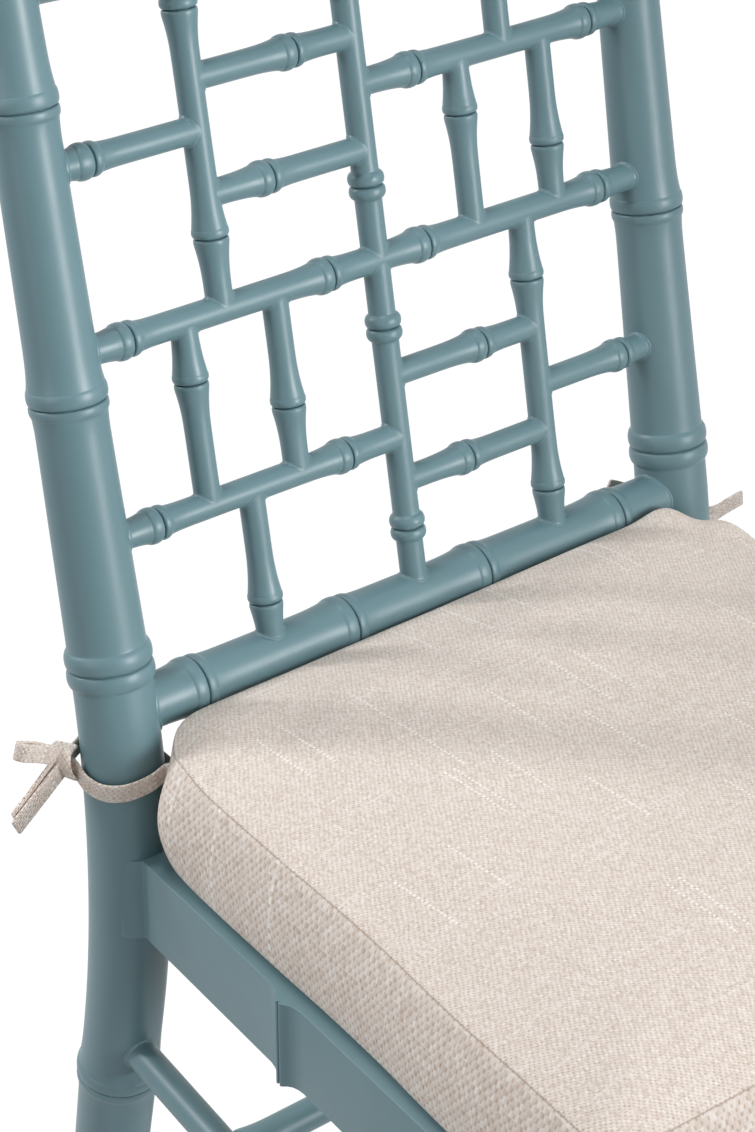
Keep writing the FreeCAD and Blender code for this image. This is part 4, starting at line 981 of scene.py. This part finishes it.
# The knot's own wrap, as millimetres out, back and up from its middle.
WRAP = ((-3, 5, 7), (4, 1, 6), (6, -2, 0), (3, -2, -7), (-2, 3, -8))
for side, side_name, knot_turn, knot_height, loop, tails in TIES:
    post_x = side * POST_REACH / MM
    out = Vector((side, 0, 0))

    def round_post(turn, height, gap):
        """A place round the post: turn 0 faces the cushion, 90 the front and 180 the outside."""
        angle = math.radians(turn)
        return Vector((post_x - side * math.cos(angle) * (TIE_REACH + gap),
                       post_y - math.sin(angle) * (TIE_REACH + gap), height))

    knot = round_post(knot_turn, knot_height, KNOT_GAP)

    def from_knot(offsets):
        return [knot + out * away + back * behind + up * rise for away, behind, rise in offsets]

    front_band = [(post_x - side * 12, post_y - 34, 661)] + [round_post(*stop) for stop in FRONT_BAND]
    front_band.append(knot)
    rear_band = [(post_x - side * 24, post_y - 22, 646)] + [round_post(*stop) for stop in REAR_BAND]
    rear_band.append(knot + up * 2)
    pieces = [tape(f"tie_front_{side_name}", front_band, [up] * len(front_band)),
              tape(f"tie_rear_{side_name}", rear_band, [up] * len(rear_band)),
              tape(f"tie_knot_{side_name}", from_knot(WRAP), [back + out * 0.3] * len(WRAP), KNOT_WIDTH),
              tape(f"tie_loop_{side_name}", from_knot(loop), [up - out * 0.3] * len(loop))]
    for number, tail in enumerate(tails):
        pieces.append(tape(f"tie_tail_{number}_{side_name}", from_knot(tail),
                           [up * 0.9 + out * 0.4] * len(tail)))
    bpy.ops.object.select_all(action="DESELECT")
    for piece in pieces:
        piece.select_set(True)
    bpy.context.view_layer.objects.active = pieces[0]
    bpy.ops.object.join()
    tie = bpy.context.object
    tie.name = f"tie_{side_name}"
    settle(tie, Matrix(), tie_cover, f"cushion_tie_{side_name}", slot="tie_fabric")

# Studio: a pale seamless floor that reads white to the camera and still takes a faint shadow, a tall
# softbox in front, one at the left, a strip behind at the left and one above, and the camera where the
# picture was taken from.
bpy.ops.mesh.primitive_plane_add(size=14, location=(0, 0, 0))
floor = bpy.context.object
floor.name = "studio_floor"
paper, paper_tree, paper_shader = new_material("seamless_paper")
paper_tone = ramp(paper_tree, noise(paper_tree, on_piece(paper_tree), 3), (0.3, (0.42, 0.42, 0.42)),
                  (0.7, (0.44, 0.44, 0.44)))
feed(paper_tree, paper_shader, {"Base Color": paper_tone, "Roughness": 0.9})
PAPER_GLOW = 1.12
GLOW_SHARE = 0.9
SURROUND_LIGHT = 0.29


def seen_directly(tree, share):
    """A share for rays from the camera, in reflections and through glass, and none for other rays."""
    rays = add_node(tree, "LightPath", {}).outputs
    total = rays["Is Camera Ray"]
    for kind in ("Is Glossy Ray", "Is Transmission Ray"):
        total = add_node(tree, "Math", {0: total, 1: rays[kind]}, operation="MAXIMUM").outputs[0]
    return add_node(tree, "Math", {0: total, 1: share}, operation="MULTIPLY").outputs[0]


paper_glow = add_node(paper_tree, "Emission", {"Strength": PAPER_GLOW}).outputs["Emission"]
paper_mix = add_node(paper_tree, "MixShader", {0: seen_directly(paper_tree, GLOW_SHARE),
                                               1: paper_shader.outputs["BSDF"], 2: paper_glow})
feed(paper_tree, paper_tree.nodes["Material Output"], {"Surface": paper_mix.outputs["Shader"]})
floor.data.materials.append(paper)

world = bpy.data.worlds.new("studio")
bpy.context.scene.world = world
world.use_nodes = True
strength = ranged(world.node_tree, seen_directly(world.node_tree, 1), SURROUND_LIGHT, 1)
feed(world.node_tree, world.node_tree.nodes["Background"], {"Color": (1, 1, 1, 1), "Strength": strength})


def softbox(name, azimuth, elevation, distance, size, power, spread=180, aim=Vector((0, 0, 0.75))):
    """A soft lamp that faces the seat from a direction; azimuth 0 is straight in front, 90 at the right."""
    turn, lift = math.radians(azimuth), math.radians(elevation)
    place = aim + distance * Vector((math.sin(turn) * math.cos(lift), -math.cos(turn) * math.cos(lift),
                                     math.sin(lift)))
    bpy.ops.object.light_add(type="AREA", location=place)
    lamp = bpy.context.object
    lamp.name = name
    lamp.data.shape = "RECTANGLE"
    lamp.data.size, lamp.data.size_y = size
    lamp.data.energy = power
    lamp.data.spread = math.radians(spread)
    lamp.rotation_euler = (aim - place).to_track_quat("-Z", "Y").to_euler()


softbox("front_softbox", azimuth=24, elevation=8, distance=2.25, size=(0.6, 1.2), power=4.2, spread=43,
        aim=Vector((-0.2, 0.1, 0.95)))
softbox("left_softbox", azimuth=-92, elevation=16, distance=2.4, size=(1.0, 1.4), power=11)
softbox("rear_softbox", azimuth=-142, elevation=36, distance=2.3, size=(0.22, 0.9), power=21)
softbox("top_softbox", azimuth=-165, elevation=77, distance=2.3, size=(0.6, 0.6), power=23)

SENSOR = 36
FOCAL_SHARE = 3138.6 / 1132
LOOK_DOWN = math.radians(28.634)
LOOK_RIGHT = math.radians(39.668)
bpy.ops.object.camera_add(location=(-0.98343, -0.99664, 1.53033),
                          rotation=(math.pi / 2 - LOOK_DOWN, 0, -LOOK_RIGHT))
camera = bpy.context.object
camera.data.sensor_fit = "AUTO"
camera.data.sensor_width = SENSOR
camera.data.lens = FOCAL_SHARE * SENSOR
camera.data.clip_start = 0.05
camera.data.clip_end = 60
bpy.context.scene.camera = camera
bpy.context.scene.view_settings.view_transform = "Standard"
